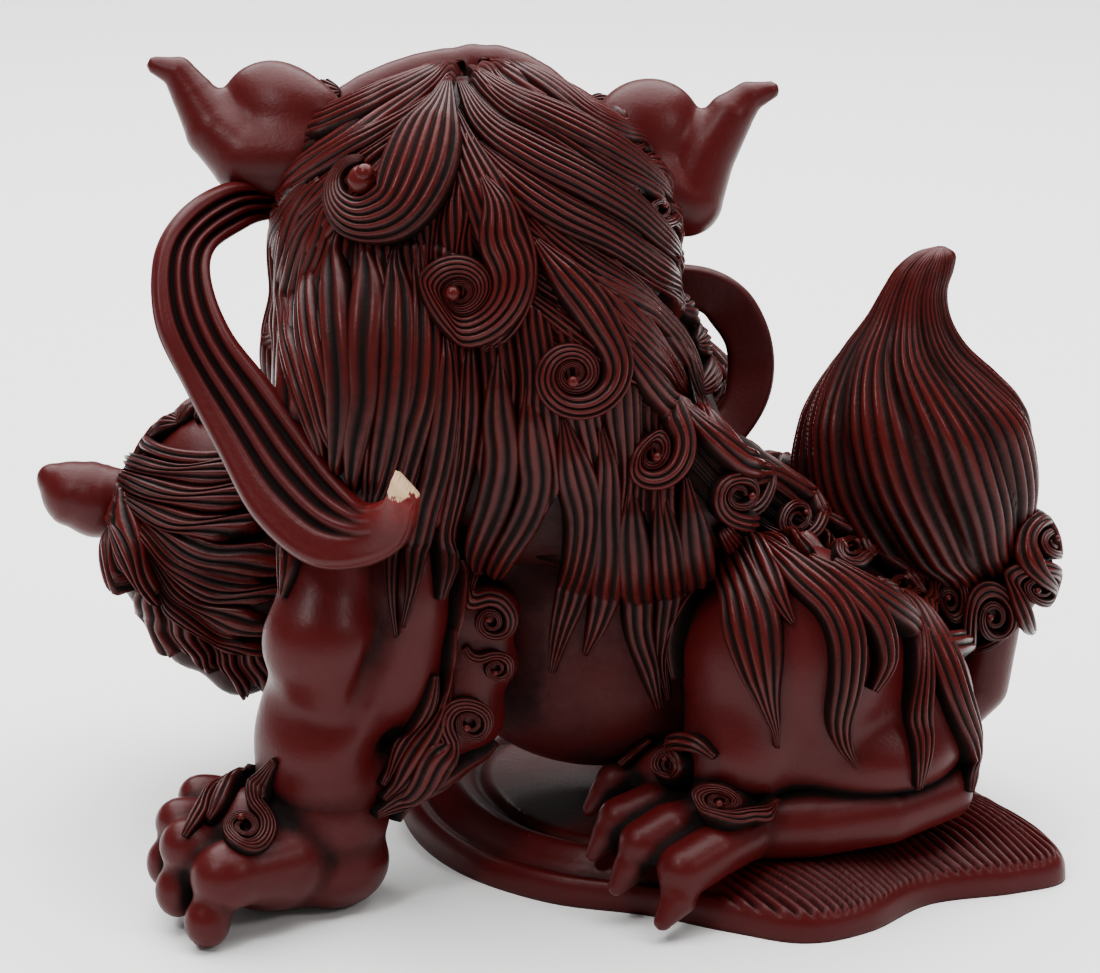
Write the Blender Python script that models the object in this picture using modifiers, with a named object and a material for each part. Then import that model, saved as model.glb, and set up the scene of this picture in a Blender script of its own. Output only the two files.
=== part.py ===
"""Guardian lion with her cub: a cast resin figure, modelled as the sections it is bonded from.

The body lies along X and faces -X. The lion's own head is turned to face +Y, and so is the cub's.
Z is up, and the underside rests on Z = 0 with the origin on the plinth's underside.
Sizes below are in millimetres, and MM turns them into metres.
"""
import math

import bmesh
import bpy
from mathutils import Euler, Matrix, Vector

MM = 0.001

# Driving dimensions
JOINT_GAP = 0.35         # glue line between two bonded sections
SLAB_TOP = 8.0           # plinth slab height
MAT_TOP = 13.0           # top of the raised mat that the lion sits on
RIBBON_THICK = 5.0
BODY_HALF_WIDTH = 42.0   # ribcage half width, in Y
TAIL_Y = 16.0            # the tail stands a little to the far side
DOWEL_RADIUS = 2.0
LION_HEAD = Vector((-22, 12, 172))   # centre of the lion's skull
CUB_HEAD = Vector((-94, 42, 74))     # centre of the cub's skull

RED_RESIN = (0.13, 0.012, 0.012)
TONGUE_RESIN = (0.19, 0.02, 0.018)
WASHED_RESIN = (0.06, 0.008, 0.008)
PIN_STEEL = (0.55, 0.55, 0.55)

FAR = 400.0              # further out than any part of the figure


def clear_scene():
    for obj in list(bpy.data.objects):
        bpy.data.objects.remove(obj)


def collection(name):
    made = bpy.data.collections.new(name)
    bpy.context.scene.collection.children.link(made)
    return made


def finish(name, colour, roughness, metallic=0.0):
    mat = bpy.data.materials.new(name)
    mat.use_nodes = True
    shader = mat.node_tree.nodes["Principled BSDF"]
    shader.inputs["Base Color"].default_value = (*colour, 1)
    shader.inputs["Roughness"].default_value = roughness
    shader.inputs["Metallic"].default_value = metallic
    return mat


# ---------------------------------------------------------------- building blocks

def ball(bm, centre, radii, turn=(0, 0, 0), segments=20):
    """An ellipsoid: a UV sphere scaled to its three radii and turned by Euler degrees."""
    turned = Euler([math.radians(t) for t in turn]).to_matrix().to_4x4()
    sized = Matrix.Diagonal((*[r * MM for r in radii], 1))
    place = Matrix.Translation(Vector(centre) * MM) @ turned @ sized
    bmesh.ops.create_uvsphere(bm, u_segments=segments, v_segments=segments // 2, radius=1, matrix=place)


def rod(bm, start, end, radius_start, radius_end, segments=12):
    """A cone or a cylinder with capped ends, from one point to another."""
    a, b = Vector(start) * MM, Vector(end) * MM
    turned = (b - a).to_track_quat("Z", "Y").to_matrix().to_4x4()
    bmesh.ops.create_cone(bm, cap_ends=True, segments=segments, radius1=radius_start * MM,
                          radius2=radius_end * MM, depth=(b - a).length,
                          matrix=Matrix.Translation((a + b) / 2) @ turned)


def limb(bm, stations):
    """A limb: round stations (x, y, z, radius) joined by cones, with a ball at each."""
    for *centre, radius in stations:
        ball(bm, centre, (radius, radius, radius))
    for start, end in zip(stations, stations[1:]):
        rod(bm, start[:3], end[:3], start[3], end[3])


def mesh_object(name, bm, group, mat=None):
    mesh = bpy.data.meshes.new(name)
    bm.to_mesh(mesh)
    bm.free()
    obj = bpy.data.objects.new(name, mesh)
    group.objects.link(obj)
    if mat:
        mesh.materials.append(mat)
    return obj


def helper(name, bm):
    """A cutter: an object in the cutters' collection, drawn as wire and left out of renders."""
    obj = mesh_object(name, bm, CUTTERS)
    obj.hide_render = True
    obj.display_type = "WIRE"
    return obj


def freeze(obj):
    """Replaces the object's mesh by what its modifiers make of it."""
    graph = bpy.context.evaluated_depsgraph_get()
    mesh = bpy.data.meshes.new_from_object(obj.evaluated_get(graph))
    obj.modifiers.clear()
    obj.data = mesh
    return obj


def loose_bodies(bm):
    """The mesh's separate closed bodies, as sets of vertices."""
    left = set(bm.verts)
    bodies = []
    while left:
        reached = {left.pop()}
        edge = list(reached)
        while edge:
            vert = edge.pop()
            found = {link.other_vert(vert) for link in vert.link_edges} - reached
            reached |= found
            edge.extend(found)
        left -= reached
        bodies.append(reached)
    return bodies


def largest_body(obj):
    """Drops the crumbs that a cut can leave, and keeps the largest closed body.

    Its faces are split into triangles, so that a swollen copy keeps the same flat facets.
    """
    bm = bmesh.new()
    bm.from_mesh(obj.data)
    bmesh.ops.triangulate(bm, faces=bm.faces)
    for crumb in sorted(loose_bodies(bm), key=len)[:-1]:
        bmesh.ops.delete(bm, geom=list(crumb), context="VERTS")
    bm.to_mesh(obj.data)
    bm.free()
    return obj


def boolean(obj, cutter, operation="DIFFERENCE"):
    """Cuts the object with the cutter, or joins them, and removes the cutter.

    The solver is the manifold one, as the exact one empties a casting that grazes its neighbours.
    """
    cut = obj.modifiers.new("cut", "BOOLEAN")
    cut.operation = operation
    cut.object = cutter
    cut.solver = "MANIFOLD"
    largest_body(freeze(obj))
    bpy.data.objects.remove(cutter)
    return obj


def corners(obj):
    points = [obj.matrix_world @ Vector(c) for c in obj.bound_box]
    return [(min(p[i] for p in points), max(p[i] for p in points)) for i in range(3)]


def near(first, second):
    """Whether two castings' bounding boxes come within the glue line of each other."""
    gap = 2 * JOINT_GAP * MM
    return all(a[0] < b[1] + gap and b[0] < a[1] + gap
               for a, b in zip(corners(first), corners(second)))


def swollen(obj, by):
    """A cutter: a copy of the casting, pushed out along its normals."""
    cutter = obj.copy()
    cutter.data = obj.data.copy()
    CUTTERS.objects.link(cutter)
    cutter.hide_render = True
    swell = cutter.modifiers.new("swell", "DISPLACE")
    swell.mid_level = 0
    swell.strength = by * MM
    return freeze(cutter)


def bond(obj):
    """Seats the casting on every earlier one near it, with a glue line between them."""
    for other in list(CASTINGS.objects):
        if other != obj and near(obj, other):
            boolean(obj, swollen(other, JOINT_GAP))
    return obj


def trim_below(obj, height):
    """Saws the casting off flat at a height."""
    bm = bmesh.new()
    low = -FAR
    place = Matrix.Translation((0, 0, (low + height) / 2 * MM))
    sized = Matrix.Diagonal((2 * FAR * MM, 2 * FAR * MM, (height - low) * MM, 1))
    bmesh.ops.create_cube(bm, size=1, matrix=place @ sized)
    return boolean(obj, helper("saw", bm))


def moulded(name, lumps, mat, triangles, voxel=4.0, smooth=4, floor=None):
    """One casting: lumps merged by a voxel remesh, eased, thinned to a light mesh and bonded.

    lumps is a list of ("ball", centre, radii[, turn]) and ("limb", stations).
    """
    bm = bmesh.new()
    for kind, *shape in lumps:
        (ball if kind == "ball" else limb)(bm, *shape)
    obj = mesh_object(name, bm, CASTINGS)
    merge = obj.modifiers.new("merge", "REMESH")
    merge.mode = "VOXEL"
    merge.voxel_size = voxel * MM
    ease = obj.modifiers.new("ease", "SMOOTH")
    ease.iterations = smooth
    freeze(obj)
    thin = obj.modifiers.new("thin", "DECIMATE")
    thin.ratio = min(1.0, triangles / (2 * len(obj.data.polygons)))
    largest_body(freeze(obj))
    if floor is not None:
        trim_below(obj, floor)
    bond(obj)
    obj.data.materials.clear()
    obj.data.materials.append(mat)
    obj.data.shade_smooth()
    obj.data.set_sharp_from_angle(angle=math.radians(50))
    return obj


def round_detail(name, centre, radii, mat, segments=10):
    """A small round detail that is a plain ellipsoid."""
    bm = bmesh.new()
    ball(bm, centre, radii, segments=segments)
    obj = bond(mesh_object(name, bm, CASTINGS, mat))
    obj.data.shade_smooth()
    return obj


def dowel(name, start, end, mates, radius=DOWEL_RADIUS):
    """A bonding pin, and its clearance hole in each casting that it joins."""
    along = (Vector(end) - Vector(start)).normalized() * JOINT_GAP
    for mate in mates:
        bm = bmesh.new()
        rod(bm, Vector(start) - along, Vector(end) + along, radius + JOINT_GAP, radius + JOINT_GAP)
        boolean(mate, helper("hole", bm))
    bm = bmesh.new()
    rod(bm, start, end, radius, radius)
    return mesh_object(name, bm, CASTINGS, STEEL)


def flat_sheet(name, outline, low, high):
    """A slab with a smooth closed outline: a filled 2D curve, extruded and made a mesh."""
    curve = bpy.data.curves.new(name, "CURVE")
    curve.dimensions = "2D"
    curve.fill_mode = "BOTH"
    curve.extrude = (high - low) / 2 * MM
    curve.resolution_u = 3
    spline = curve.splines.new("BEZIER")
    spline.use_cyclic_u = True
    spline.bezier_points.add(len(outline) - 1)
    for point, (x, y) in zip(spline.bezier_points, outline):
        point.co = (x * MM, y * MM, 0)
        point.handle_left_type = point.handle_right_type = "AUTO"
    drawn = bpy.data.objects.new(name + "_outline", curve)
    CUTTERS.objects.link(drawn)
    graph = bpy.context.evaluated_depsgraph_get()
    mesh = bpy.data.meshes.new_from_object(drawn.evaluated_get(graph))
    mesh.transform(Matrix.Translation((0, 0, (low + high) / 2 * MM)))
    bpy.data.objects.remove(drawn)
    bm = bmesh.new()
    bm.from_mesh(mesh)
    bmesh.ops.remove_doubles(bm, verts=bm.verts, dist=0.00001)
    bmesh.ops.recalc_face_normals(bm, faces=bm.faces)
    return bm


def ribbon(name, edges, mat):
    """A streamer: a strip lofted between its two edges, and given its thickness by Solidify."""
    bm = bmesh.new()
    rows = []
    for outer, inner in edges:
        outer, inner = Vector(outer) * MM, Vector(inner) * MM
        rows.append([bm.verts.new(outer.lerp(inner, t)) for t in (0, 1)])
    for first, second in zip(rows, rows[1:]):
        bm.faces.new((first[0], first[1], second[1], second[0]))
    obj = mesh_object(name, bm, CASTINGS)
    wall = obj.modifiers.new("wall", "SOLIDIFY")
    wall.thickness = RIBBON_THICK * MM
    wall.offset = 0
    rounding = obj.modifiers.new("rounding", "BEVEL")
    rounding.width = RIBBON_THICK / 4 * MM
    rounding.segments = 1
    freeze(obj)
    bm = bmesh.new()
    bm.from_mesh(obj.data)
    bmesh.ops.recalc_face_normals(bm, faces=bm.faces)
    bm.to_mesh(obj.data)
    bm.free()
    bond(obj)
    obj.data.materials.clear()
    obj.data.materials.append(mat)
    obj.data.shade_smooth()
    return obj


def mirrored(lumps):
    """The same lumps on the other side of the body, across the XZ plane."""
    out = []
    for kind, *shape in lumps:
        if kind == "ball":
            (x, y, z), radii, *turn = shape
            out.append(("ball", (x, -y, z), radii, *[(-t[0], t[1], -t[2]) for t in turn]))
        else:
            out.append(("limb", [(x, -y, z, r) for x, y, z, r in shape[0]]))
    return out


clear_scene()
CASTINGS = collection("guardian_lion")
CUTTERS = collection("cutters")
RED = finish("red_resin", RED_RESIN, 0.38)
HAIR = finish("washed_resin", WASHED_RESIN, 0.45)
TONGUE = finish("tongue_resin", TONGUE_RESIN, 0.35)
TEETH = finish("teeth_resin", RED_RESIN, 0.3)
STEEL = finish("pin_steel", PIN_STEEL, 0.4, metallic=1.0)

# ---------------------------------------------------------------- plinth

SLAB_OUTLINE = [(-44, 18), (-36, -12), (-22, -36), (0, -52), (27, -60), (48, -70), (68, -77),
                (86, -70), (104, -52), (128, -46), (143, -38), (140, -22), (124, 8), (124, 40),
                (104, 62), (70, 74), (30, 68), (-8, 56), (-36, 42)]
MAT_OUTLINE = [(-34, 14), (-28, -14), (-12, -34), (8, -42), (34, -50), (52, -62), (70, -68),
               (88, -60), (106, -46), (128, -40), (136, -34), (132, -20), (118, 8), (117, 36),
               (98, 54), (68, 66), (30, 60), (-4, 48), (-28, 34)]

base_plate = mesh_object("base_plate", flat_sheet("slab", SLAB_OUTLINE, 0, SLAB_TOP), CASTINGS)
boolean(base_plate, helper("mat", flat_sheet("mat", MAT_OUTLINE, SLAB_TOP / 2, MAT_TOP)), "UNION")
base_plate.data.materials.clear()
base_plate.data.materials.append(RED)

# ---------------------------------------------------------------- lion's face

EYE_RADIUS = 9.0
FACE_Y = 56.0            # how far forward of the body's middle plane the eyes stand
for side, x in (("left", -38), ("right", -6)):
    round_detail("eye_" + side, (x, FACE_Y, 187), (EYE_RADIUS, EYE_RADIUS, EYE_RADIUS), HAIR)
round_detail("nose", (-22, 76, 172), (12, 9, 8), RED)
moulded("tongue", [("limb", [(-22, 48, 150, 8), (-22, 62, 149, 8), (-22, 70, 146, 6)])],
        TONGUE, 90, voxel=2.5)
FANG = 7.0               # how far a fang reaches past its row
TOOTH_ROWS = {"upper": (161, -1), "lower": (145, 1)}
for row, (z, way) in TOOTH_ROWS.items():
    moulded("teeth_" + row, [
        ("limb", [(-41, 60, z, 3.4), (-33, 69, z, 3.4), (-22, 72, z, 3.4),
                  (-11, 69, z, 3.4), (-3, 60, z, 3.4)]),
        ("limb", [(-36, 67, z, 3.5), (-36, 68, z + FANG * way, 2.4)]),
        ("limb", [(-8, 67, z, 3.5), (-8, 68, z + FANG * way, 2.4)]),
    ], TEETH, 180, voxel=1.6, smooth=2)
moulded("lower_jaw", [
    ("ball", (-22, 52, 141), (27, 25, 10)),
    ("ball", (-22, 60, 133), (16, 18, 10)),
], RED, 200, voxel=3)
head = moulded("head", [
    ("ball", LION_HEAD, (46, 44, 45)),
    ("ball", (-22, 40, 192), (36, 22, 20)),
    ("ball", (-22, 54, 170), (30, 24, 11)),
    ("ball", (-22, 66, 166), (20, 14, 8)),
    ("ball", (-50, 44, 158), (15, 18, 20)),
    ("ball", (6, 44, 158), (15, 18, 20)),
    ("ball", (-22, 28, 145), (36, 28, 22)),
], RED, 400, voxel=4)

# ---------------------------------------------------------------- lion's body

torso = moulded("torso", [
    ("ball", (-30, 0, 98), (40, BODY_HALF_WIDTH, 48)),
    ("ball", (10, 0, 80), (50, BODY_HALF_WIDTH, 38)),
    ("ball", (14, -4, 56), (44, 38, 32)),
    ("ball", (66, 0, 50), (46, 40, 36)),
    ("ball", (-22, 0, 132), (32, 32, 34)),
], RED, 400, voxel=5, floor=MAT_TOP + JOINT_GAP)

HAUNCH = [
    ("ball", (68, -34, 62), (32, 25, 34)),
    ("ball", (95, -24, 46), (24, 22, 30)),
    ("ball", (56, -46, 40), (18, 14, 12)),
]
HIND_FOOT = [
    ("limb", [(108, -35, 27, 9), (76, -46, 25, 10), (52, -46, 23, 10)]),
    ("ball", (44, -44, 22), (16, 22, 10)),
    ("limb", [(45, -61, 21, 7.5), (36, -69, 18, 7.5), (31, -74, 9, 4.5)]),
    ("limb", [(38, -51, 24, 7), (27, -60, 23, 6.6), (19, -65, 13, 4.5)]),
    ("limb", [(33, -42, 25, 6.6), (20, -49, 24, 6.2), (13, -52, 17, 4.5)]),
    ("limb", [(30, -28, 28, 6.4), (19, -35, 29, 5.6), (12, -38, 24, 4)]),
]
for side, turn in (("left", list), ("right", mirrored)):
    moulded("haunch_" + side, turn(HAUNCH), RED, 200, floor=MAT_TOP + JOINT_GAP)
    moulded("hind_foot_" + side, turn(HIND_FOOT), RED, 280, voxel=2.6, smooth=3)

moulded("front_leg_left", [
    ("ball", (-43, -34, 106), (23, 18, 26)),
    ("ball", (-60, -54, 84), (17, 16, 20)),
    ("ball", (-38, -46, 84), (13, 14, 23)),
    ("ball", (-56, -53, 61), (20, 16, 23)),
    ("ball", (-64, -58, 46), (12, 10, 11)),
    ("ball", (-62, -51, 35), (19, 17, 21)),
    ("limb", [(-23, -43, 78, 7), (-22, -44, 66, 8), (-25, -45, 55, 9), (-38, -48, 42, 9)]),
], RED, 260, voxel=3.4, floor=28)
moulded("front_paw_left", [
    ("ball", (-62, -51, 30), (19, 17, 17)),
    ("ball", (-60, -50, 12), (16, 17, 13)),
    ("ball", (-78, -54, 13), (20, 21, 13)),
    ("limb", [(-86, -75, 19, 8.5), (-90, -79, 9, 7)]),
    ("limb", [(-96, -67, 22, 7.5), (-100, -69, 12, 6.8)]),
    ("limb", [(-99, -56, 24, 7), (-103, -58, 14, 6.5)]),
    ("limb", [(-95, -43, 26, 6.5), (-100, -46, 16, 6)]),
], RED, 300, voxel=2.8, floor=0)

# ---------------------------------------------------------------- cub

cub_head = moulded("cub_head", [
    ("ball", CUB_HEAD + Vector((0, 2, 8)), (28, 26, 32)),
    ("ball", CUB_HEAD + Vector((0, 24, 4)), (19, 14, 12)),
    ("ball", CUB_HEAD + Vector((0, 18, -12)), (16, 14, 9)),
], RED, 180, voxel=3.2)
cub_mane = moulded("cub_mane", [
    ("ball", CUB_HEAD + Vector((0, -6, -2)), (34, 25, 33)),
    ("ball", CUB_HEAD + Vector((12, -3, -18)), (30, 24, 28)),
], HAIR, 200, voxel=3.2)
for side, way in (("left", -1), ("right", 1)):
    moulded("cub_ear_" + side, [
        ("ball", CUB_HEAD + Vector((way * 34, 0, 14)), (14, 6, 10)),
        ("limb", [tuple(CUB_HEAD + Vector((way * 40, 0, 13))) + (6,),
                  tuple(CUB_HEAD + Vector((way * 50, 1, 10))) + (2.5,)]),
    ], RED, 90, voxel=2.4, smooth=3)
cub_body = moulded("cub_body", [
    ("ball", (-68, 40, 44), (24, 18, 20)),
    ("ball", (-56, 44, 34), (20, 18, 22)),
    ("limb", [(-72, 32, 34, 9), (-73, 30, 18, 7), (-75, 29, 6, 7)]),
    ("limb", [(-72, 54, 34, 9), (-73, 57, 18, 7), (-75, 58, 6, 7)]),
    ("limb", [(-54, 34, 30, 10), (-52, 32, 16, 7), (-56, 31, 6, 7)]),
    ("limb", [(-54, 55, 30, 10), (-52, 58, 16, 7), (-56, 59, 6, 7)]),
], RED, 280, voxel=3.2, floor=0)

moulded("front_leg_right", [
    ("ball", (-40, 34, 106), (24, 18, 26)),
    ("ball", (-50, 50, 90), (17, 15, 20)),
    ("ball", (-56, 55, 76), (15, 13, 14)),
], RED, 150, voxel=3.4, floor=70)
moulded("front_paw_right", [
    ("ball", (-58, 58, 66), (17, 14, 12)),
    ("limb", [(-66, 64, 68, 6), (-72, 69, 60, 5)]),
    ("limb", [(-58, 68, 68, 6), (-61, 74, 59, 5)]),
    ("limb", [(-49, 67, 68, 6), (-49, 73, 59, 5)]),
], RED, 170, voxel=2.8, smooth=3)

# ---------------------------------------------------------------- tail

moulded("tail_stalk", [
    ("limb", [(98, 8, 34, 13), (114, 13, 30, 11), (124, 16, 38, 10), (128, 16, 58, 9)]),
], RED, 140, voxel=3.2, floor=MAT_TOP + JOINT_GAP)
moulded("tail_collar", [
    ("ball", (122, TAIL_Y, 66), (18, 17, 11)),
    ("ball", (136, TAIL_Y - 2, 75), (9, 11, 12)),
    ("ball", (109, TAIL_Y - 6, 65), (12, 12, 9)),
], HAIR, 150, voxel=3)
moulded("tail_tuft", [
    ("ball", (104, TAIL_Y + 2, 100), (35, 24, 33)),
    ("ball", (112, TAIL_Y + 2, 94), (31, 24, 30)),
    ("ball", (105, TAIL_Y + 2, 124), (28, 20, 26)),
    ("limb", [(104, 18, 138, 19), (104, 18, 150, 12), (108, 18, 160, 6.5), (111, 18, 167, 3)]),
], HAIR, 280, voxel=3.4)

# ---------------------------------------------------------------- mane, ears and ribbons

mane_crown = moulded("mane_crown", [
    ("ball", (-20, -6, 176), (55, 48, 50)),
    ("ball", (-20, -16, 148), (56, 40, 34)),
], HAIR, 380, voxel=4)
ear_left = moulded("ear_left", [
    ("ball", (-70, 8, 203), (15, 10, 15)),
    ("ball", (-78, 9, 201), (14, 9, 16)),
    ("limb", [(-86, 10, 200, 10), (-97, 10, 212, 6), (-106, 10, 220, 2.5)]),
], RED, 320, voxel=3)
ear_right = moulded("ear_right", [
    ("ball", (24, 8, 197), (15, 10, 15)),
    ("ball", (38, 10, 190), (13, 8, 18)),
    ("limb", [(44, 10, 200, 9), (52, 10, 208, 6), (60, 10, 214, 2.5)]),
], RED, 130, voxel=3)
moulded("mane_spine", [
    ("limb", [(16, -6, 138, 29), (28, -4, 114, 25), (46, -2, 95, 21), (66, 0, 82, 17),
              (92, 2, 70, 13)]),
], HAIR, 220, voxel=4)
FLANK_HAIR = [
    ("ball", (-42, -38, 140), (30, 28, 42)),
    ("ball", (-6, -40, 128), (36, 26, 44)),
    ("ball", (24, -38, 104), (34, 18, 32)),
    ("limb", [(-40, -58, 112, 8), (-39, -62, 96, 4)]),
    ("limb", [(2, -46, 100, 9), (4, -48, 76, 5)]),
    ("limb", [(26, -46, 92, 9), (30, -47, 64, 5)]),
]
for side, turn in (("left", list), ("right", mirrored)):
    moulded("mane_" + side, turn(FLANK_HAIR), HAIR, 260, voxel=3.6)
HIP_HAIR = [
    ("limb", [(52, -38, 104, 12), (58, -56, 76, 7), (59, -60, 52, 4)]),
    ("limb", [(70, -34, 96, 12), (80, -54, 72, 8), (82, -55, 46, 4)]),
    ("limb", [(88, -24, 84, 12), (100, -44, 60, 8), (100, -46, 34, 4)]),
]
for side, turn in (("left", list), ("right", mirrored)):
    moulded("hip_mane_" + side, turn(HIP_HAIR), HAIR, 200, voxel=3)

# Each streamer's two edges, from its root in the mane to its tip
RIBBON_LEFT = [
    ((-66, 12, 188), (-66, 12, 178)), ((-78, 2, 190), (-78, 2, 179)), ((-89, -8, 191), (-84, -8, 178)),
    ((-99, -18, 186), (-90, -18, 175)), ((-105, -28, 176), (-90, -27, 169)),
    ((-104, -38, 160), (-84, -37, 158)), ((-96, -44, 144), (-74, -44, 147)),
    ((-87, -52, 129), (-64, -52, 136)), ((-77, -62, 114), (-56, -60, 127)),
    ((-63, -71, 105), (-50, -66, 122)), ((-49, -77, 106), (-46, -72, 122)),
    ((-37, -81, 114), (-41, -78, 126)), ((-33, -82, 128), (-39, -82, 134)),
]
RIBBON_RIGHT = [
    ((32, 30, 160), (32, 30, 148)), ((46, 30, 158), (42, 30, 146)), ((56, 30, 152), (46, 30, 142)),
    ((62, 28, 142), (48, 28, 136)), ((64, 26, 131), (48, 26, 129)), ((62, 22, 121), (46, 22, 123)),
    ((56, 18, 112), (43, 18, 119)), ((47, 12, 105), (37, 12, 115)),
]
ribbon("ribbon_left", RIBBON_LEFT, RED)
ribbon("ribbon_right", RIBBON_RIGHT, RED)

# ---------------------------------------------------------------- bonding dowels

dowel("ear_dowel_left", (-78, 9, 203), (-58, 9, 196), [ear_left, mane_crown, head])
dowel("ear_dowel_right", (32, 9, 196), (14, 9, 190), [ear_right, mane_crown, head])
dowel("tail_dowel", (126, TAIL_Y, 50), (118, TAIL_Y, 86),
      [bpy.data.objects[n] for n in ("tail_stalk", "tail_collar", "tail_tuft")], radius=3)
dowel("cub_neck_dowel", (-84, 42, 62), (-70, 42, 46), [cub_head, cub_mane, cub_body], radius=3)
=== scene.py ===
"""Looks for the cast resin guardian lion with her cub.

Every piece is worked out with numpy in the figure's own frame, in millimetres, and put into its
mesh in metres. Body castings are the skins of rounded lumps melted together. Hair is made of locks:
a ridged profile carried along a path that is pressed onto the body's skin.
"""
import math

import bpy
import numpy as np
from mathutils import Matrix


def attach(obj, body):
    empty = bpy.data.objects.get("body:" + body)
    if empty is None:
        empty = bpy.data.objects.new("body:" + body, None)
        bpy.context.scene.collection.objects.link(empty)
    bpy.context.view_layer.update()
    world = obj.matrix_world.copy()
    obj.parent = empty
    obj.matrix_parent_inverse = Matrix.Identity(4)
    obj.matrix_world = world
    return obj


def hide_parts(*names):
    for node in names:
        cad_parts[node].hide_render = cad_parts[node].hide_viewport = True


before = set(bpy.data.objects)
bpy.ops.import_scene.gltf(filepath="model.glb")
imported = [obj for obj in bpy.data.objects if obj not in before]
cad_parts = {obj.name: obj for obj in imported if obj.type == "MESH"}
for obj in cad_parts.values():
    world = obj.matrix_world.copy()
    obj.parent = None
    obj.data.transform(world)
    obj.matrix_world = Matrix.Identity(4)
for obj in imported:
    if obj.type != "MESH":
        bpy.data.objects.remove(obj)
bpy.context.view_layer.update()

MM = 0.001
UP = np.array([0.0, 0.0, 1.0])

# The camera's place, in millimetres and degrees, and the width it takes in at its target
EYE_RISE = 18.0
EYE_DISTANCE = 900.0
EYE_TARGET = np.array([0.0, 0.0, 103.0])
VIEW_WIDTH = 308.0
EYE_FORWARD = np.array([0.0, math.cos(math.radians(EYE_RISE)), -math.sin(math.radians(EYE_RISE))])
EYE_UP = np.array([0.0, math.sin(math.radians(EYE_RISE)), math.cos(math.radians(EYE_RISE))])
EYE_RIGHT = np.array([1.0, 0.0, 0.0])
EYE = EYE_TARGET - EYE_DISTANCE * EYE_FORWARD
SHEET_FOOT = 128.4       # how far the drawing sheet's zero line lies below the target
SIGHT_SPAN = (600.0, 1150.0)   # how near and far along a sight line the body is looked for
SIDE_SPAN = 130.0        # how far out beside or before the body a level line starts
FRONT_SPAN = 190.0       # how far a level line from the front is followed
FAR_OFF = 60.0           # the distance given to a place that no casting is near
FIELD_BLURS = 3          # rounds of softening that the whole figure's field is given on each axis


# ---------------------------------------------------------------- fields: lumps melted together
#
# A lump is ("ball", centre, radii), ("limb", stations) or ("cut", stations), which takes away.
# A station is (x, y, z, radius).

def melt(a, b, width):
    """Smooth union: the lesser of two distances, rounded off where they differ by under width."""
    h = np.clip(0.5 + 0.5 * (b - a) / width, 0, 1)
    return b + (a - b) * h - width * h * (1 - h)


def ball_distance(points, centre, radii):
    """Distance to an ellipsoid, near enough: k (k - 1) over the gradient, k the scaled radius."""
    local = points - np.asarray(centre, float)
    radii = np.asarray(radii, float)
    k = np.linalg.norm(local / radii, axis=-1)
    slope = np.linalg.norm(local / radii ** 2, axis=-1)
    return k * (k - 1) / np.maximum(slope, 1e-9)


def limb_distance(points, stations):
    """Distance to round stations joined by cones: the least over the stretches."""
    best = np.full(points.shape[:-1], 1e9)
    for (*a, ra), (*b, rb) in zip(stations, stations[1:]):
        a, b = np.array(a, float), np.array(b, float)
        along = b - a
        t = np.clip(((points - a) @ along) / (along @ along), 0, 1)
        gap = np.linalg.norm(points - a - t[..., None] * along, axis=-1) - ra - (rb - ra) * t
        best = np.minimum(best, gap)
    return best


def mirrored(lumps):
    """The same lumps on the body's other side."""
    out = []
    for kind, *shape in lumps:
        if kind == "ball":
            (x, y, z), radii = shape
            out.append((kind, (x, -y, z), radii))
        else:
            out.append((kind, [(x, -y, z, r) for x, y, z, r in shape[0]]))
    return out


def lump_box(lumps, margin=6.0):
    """Lowest and highest corner of the lumps that add material."""
    low, high = np.full(3, 1e9), np.full(3, -1e9)
    for kind, *shape in lumps:
        if kind == "cut":
            continue
        if kind == "ball":
            spans = [(np.array(shape[0], float), np.array(shape[1], float))]
        else:
            spans = [(np.array(s[:3], float), s[3]) for s in shape[0]]
        for centre, reach in spans:
            low = np.minimum(low, centre - reach)
            high = np.maximum(high, centre + reach)
    return low - margin, high + margin


# ---------------------------------------------------------------- meshes

def put_mesh(name, points, faces, marks=None):
    """A mesh object from arrays: points in millimetres, faces as rows of three or four corners.

    marks holds one float for each point under each name, for the finishes to read.
    """
    mesh = bpy.data.meshes.new(name)
    points = np.asarray(points, np.float32) * MM
    faces = np.asarray(faces, np.int32)
    sides = faces.shape[1]
    mesh.vertices.add(len(points))
    mesh.vertices.foreach_set("co", points.ravel())
    mesh.loops.add(faces.size)
    mesh.loops.foreach_set("vertex_index", faces.ravel())
    mesh.polygons.add(len(faces))
    mesh.polygons.foreach_set("loop_start", np.arange(len(faces), dtype=np.int32) * sides)
    mesh.polygons.foreach_set("use_smooth", np.ones(len(faces), bool))
    for mark, values in (marks or {}).items():
        layer = mesh.attributes.new(mark, "FLOAT", "POINT")
        layer.data.foreach_set("value", np.asarray(values, np.float32).ravel())
    mesh.update(calc_edges=True)
    mesh.validate()
    obj = bpy.data.objects.new(name, mesh)
    bpy.context.scene.collection.objects.link(obj)
    return obj


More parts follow.
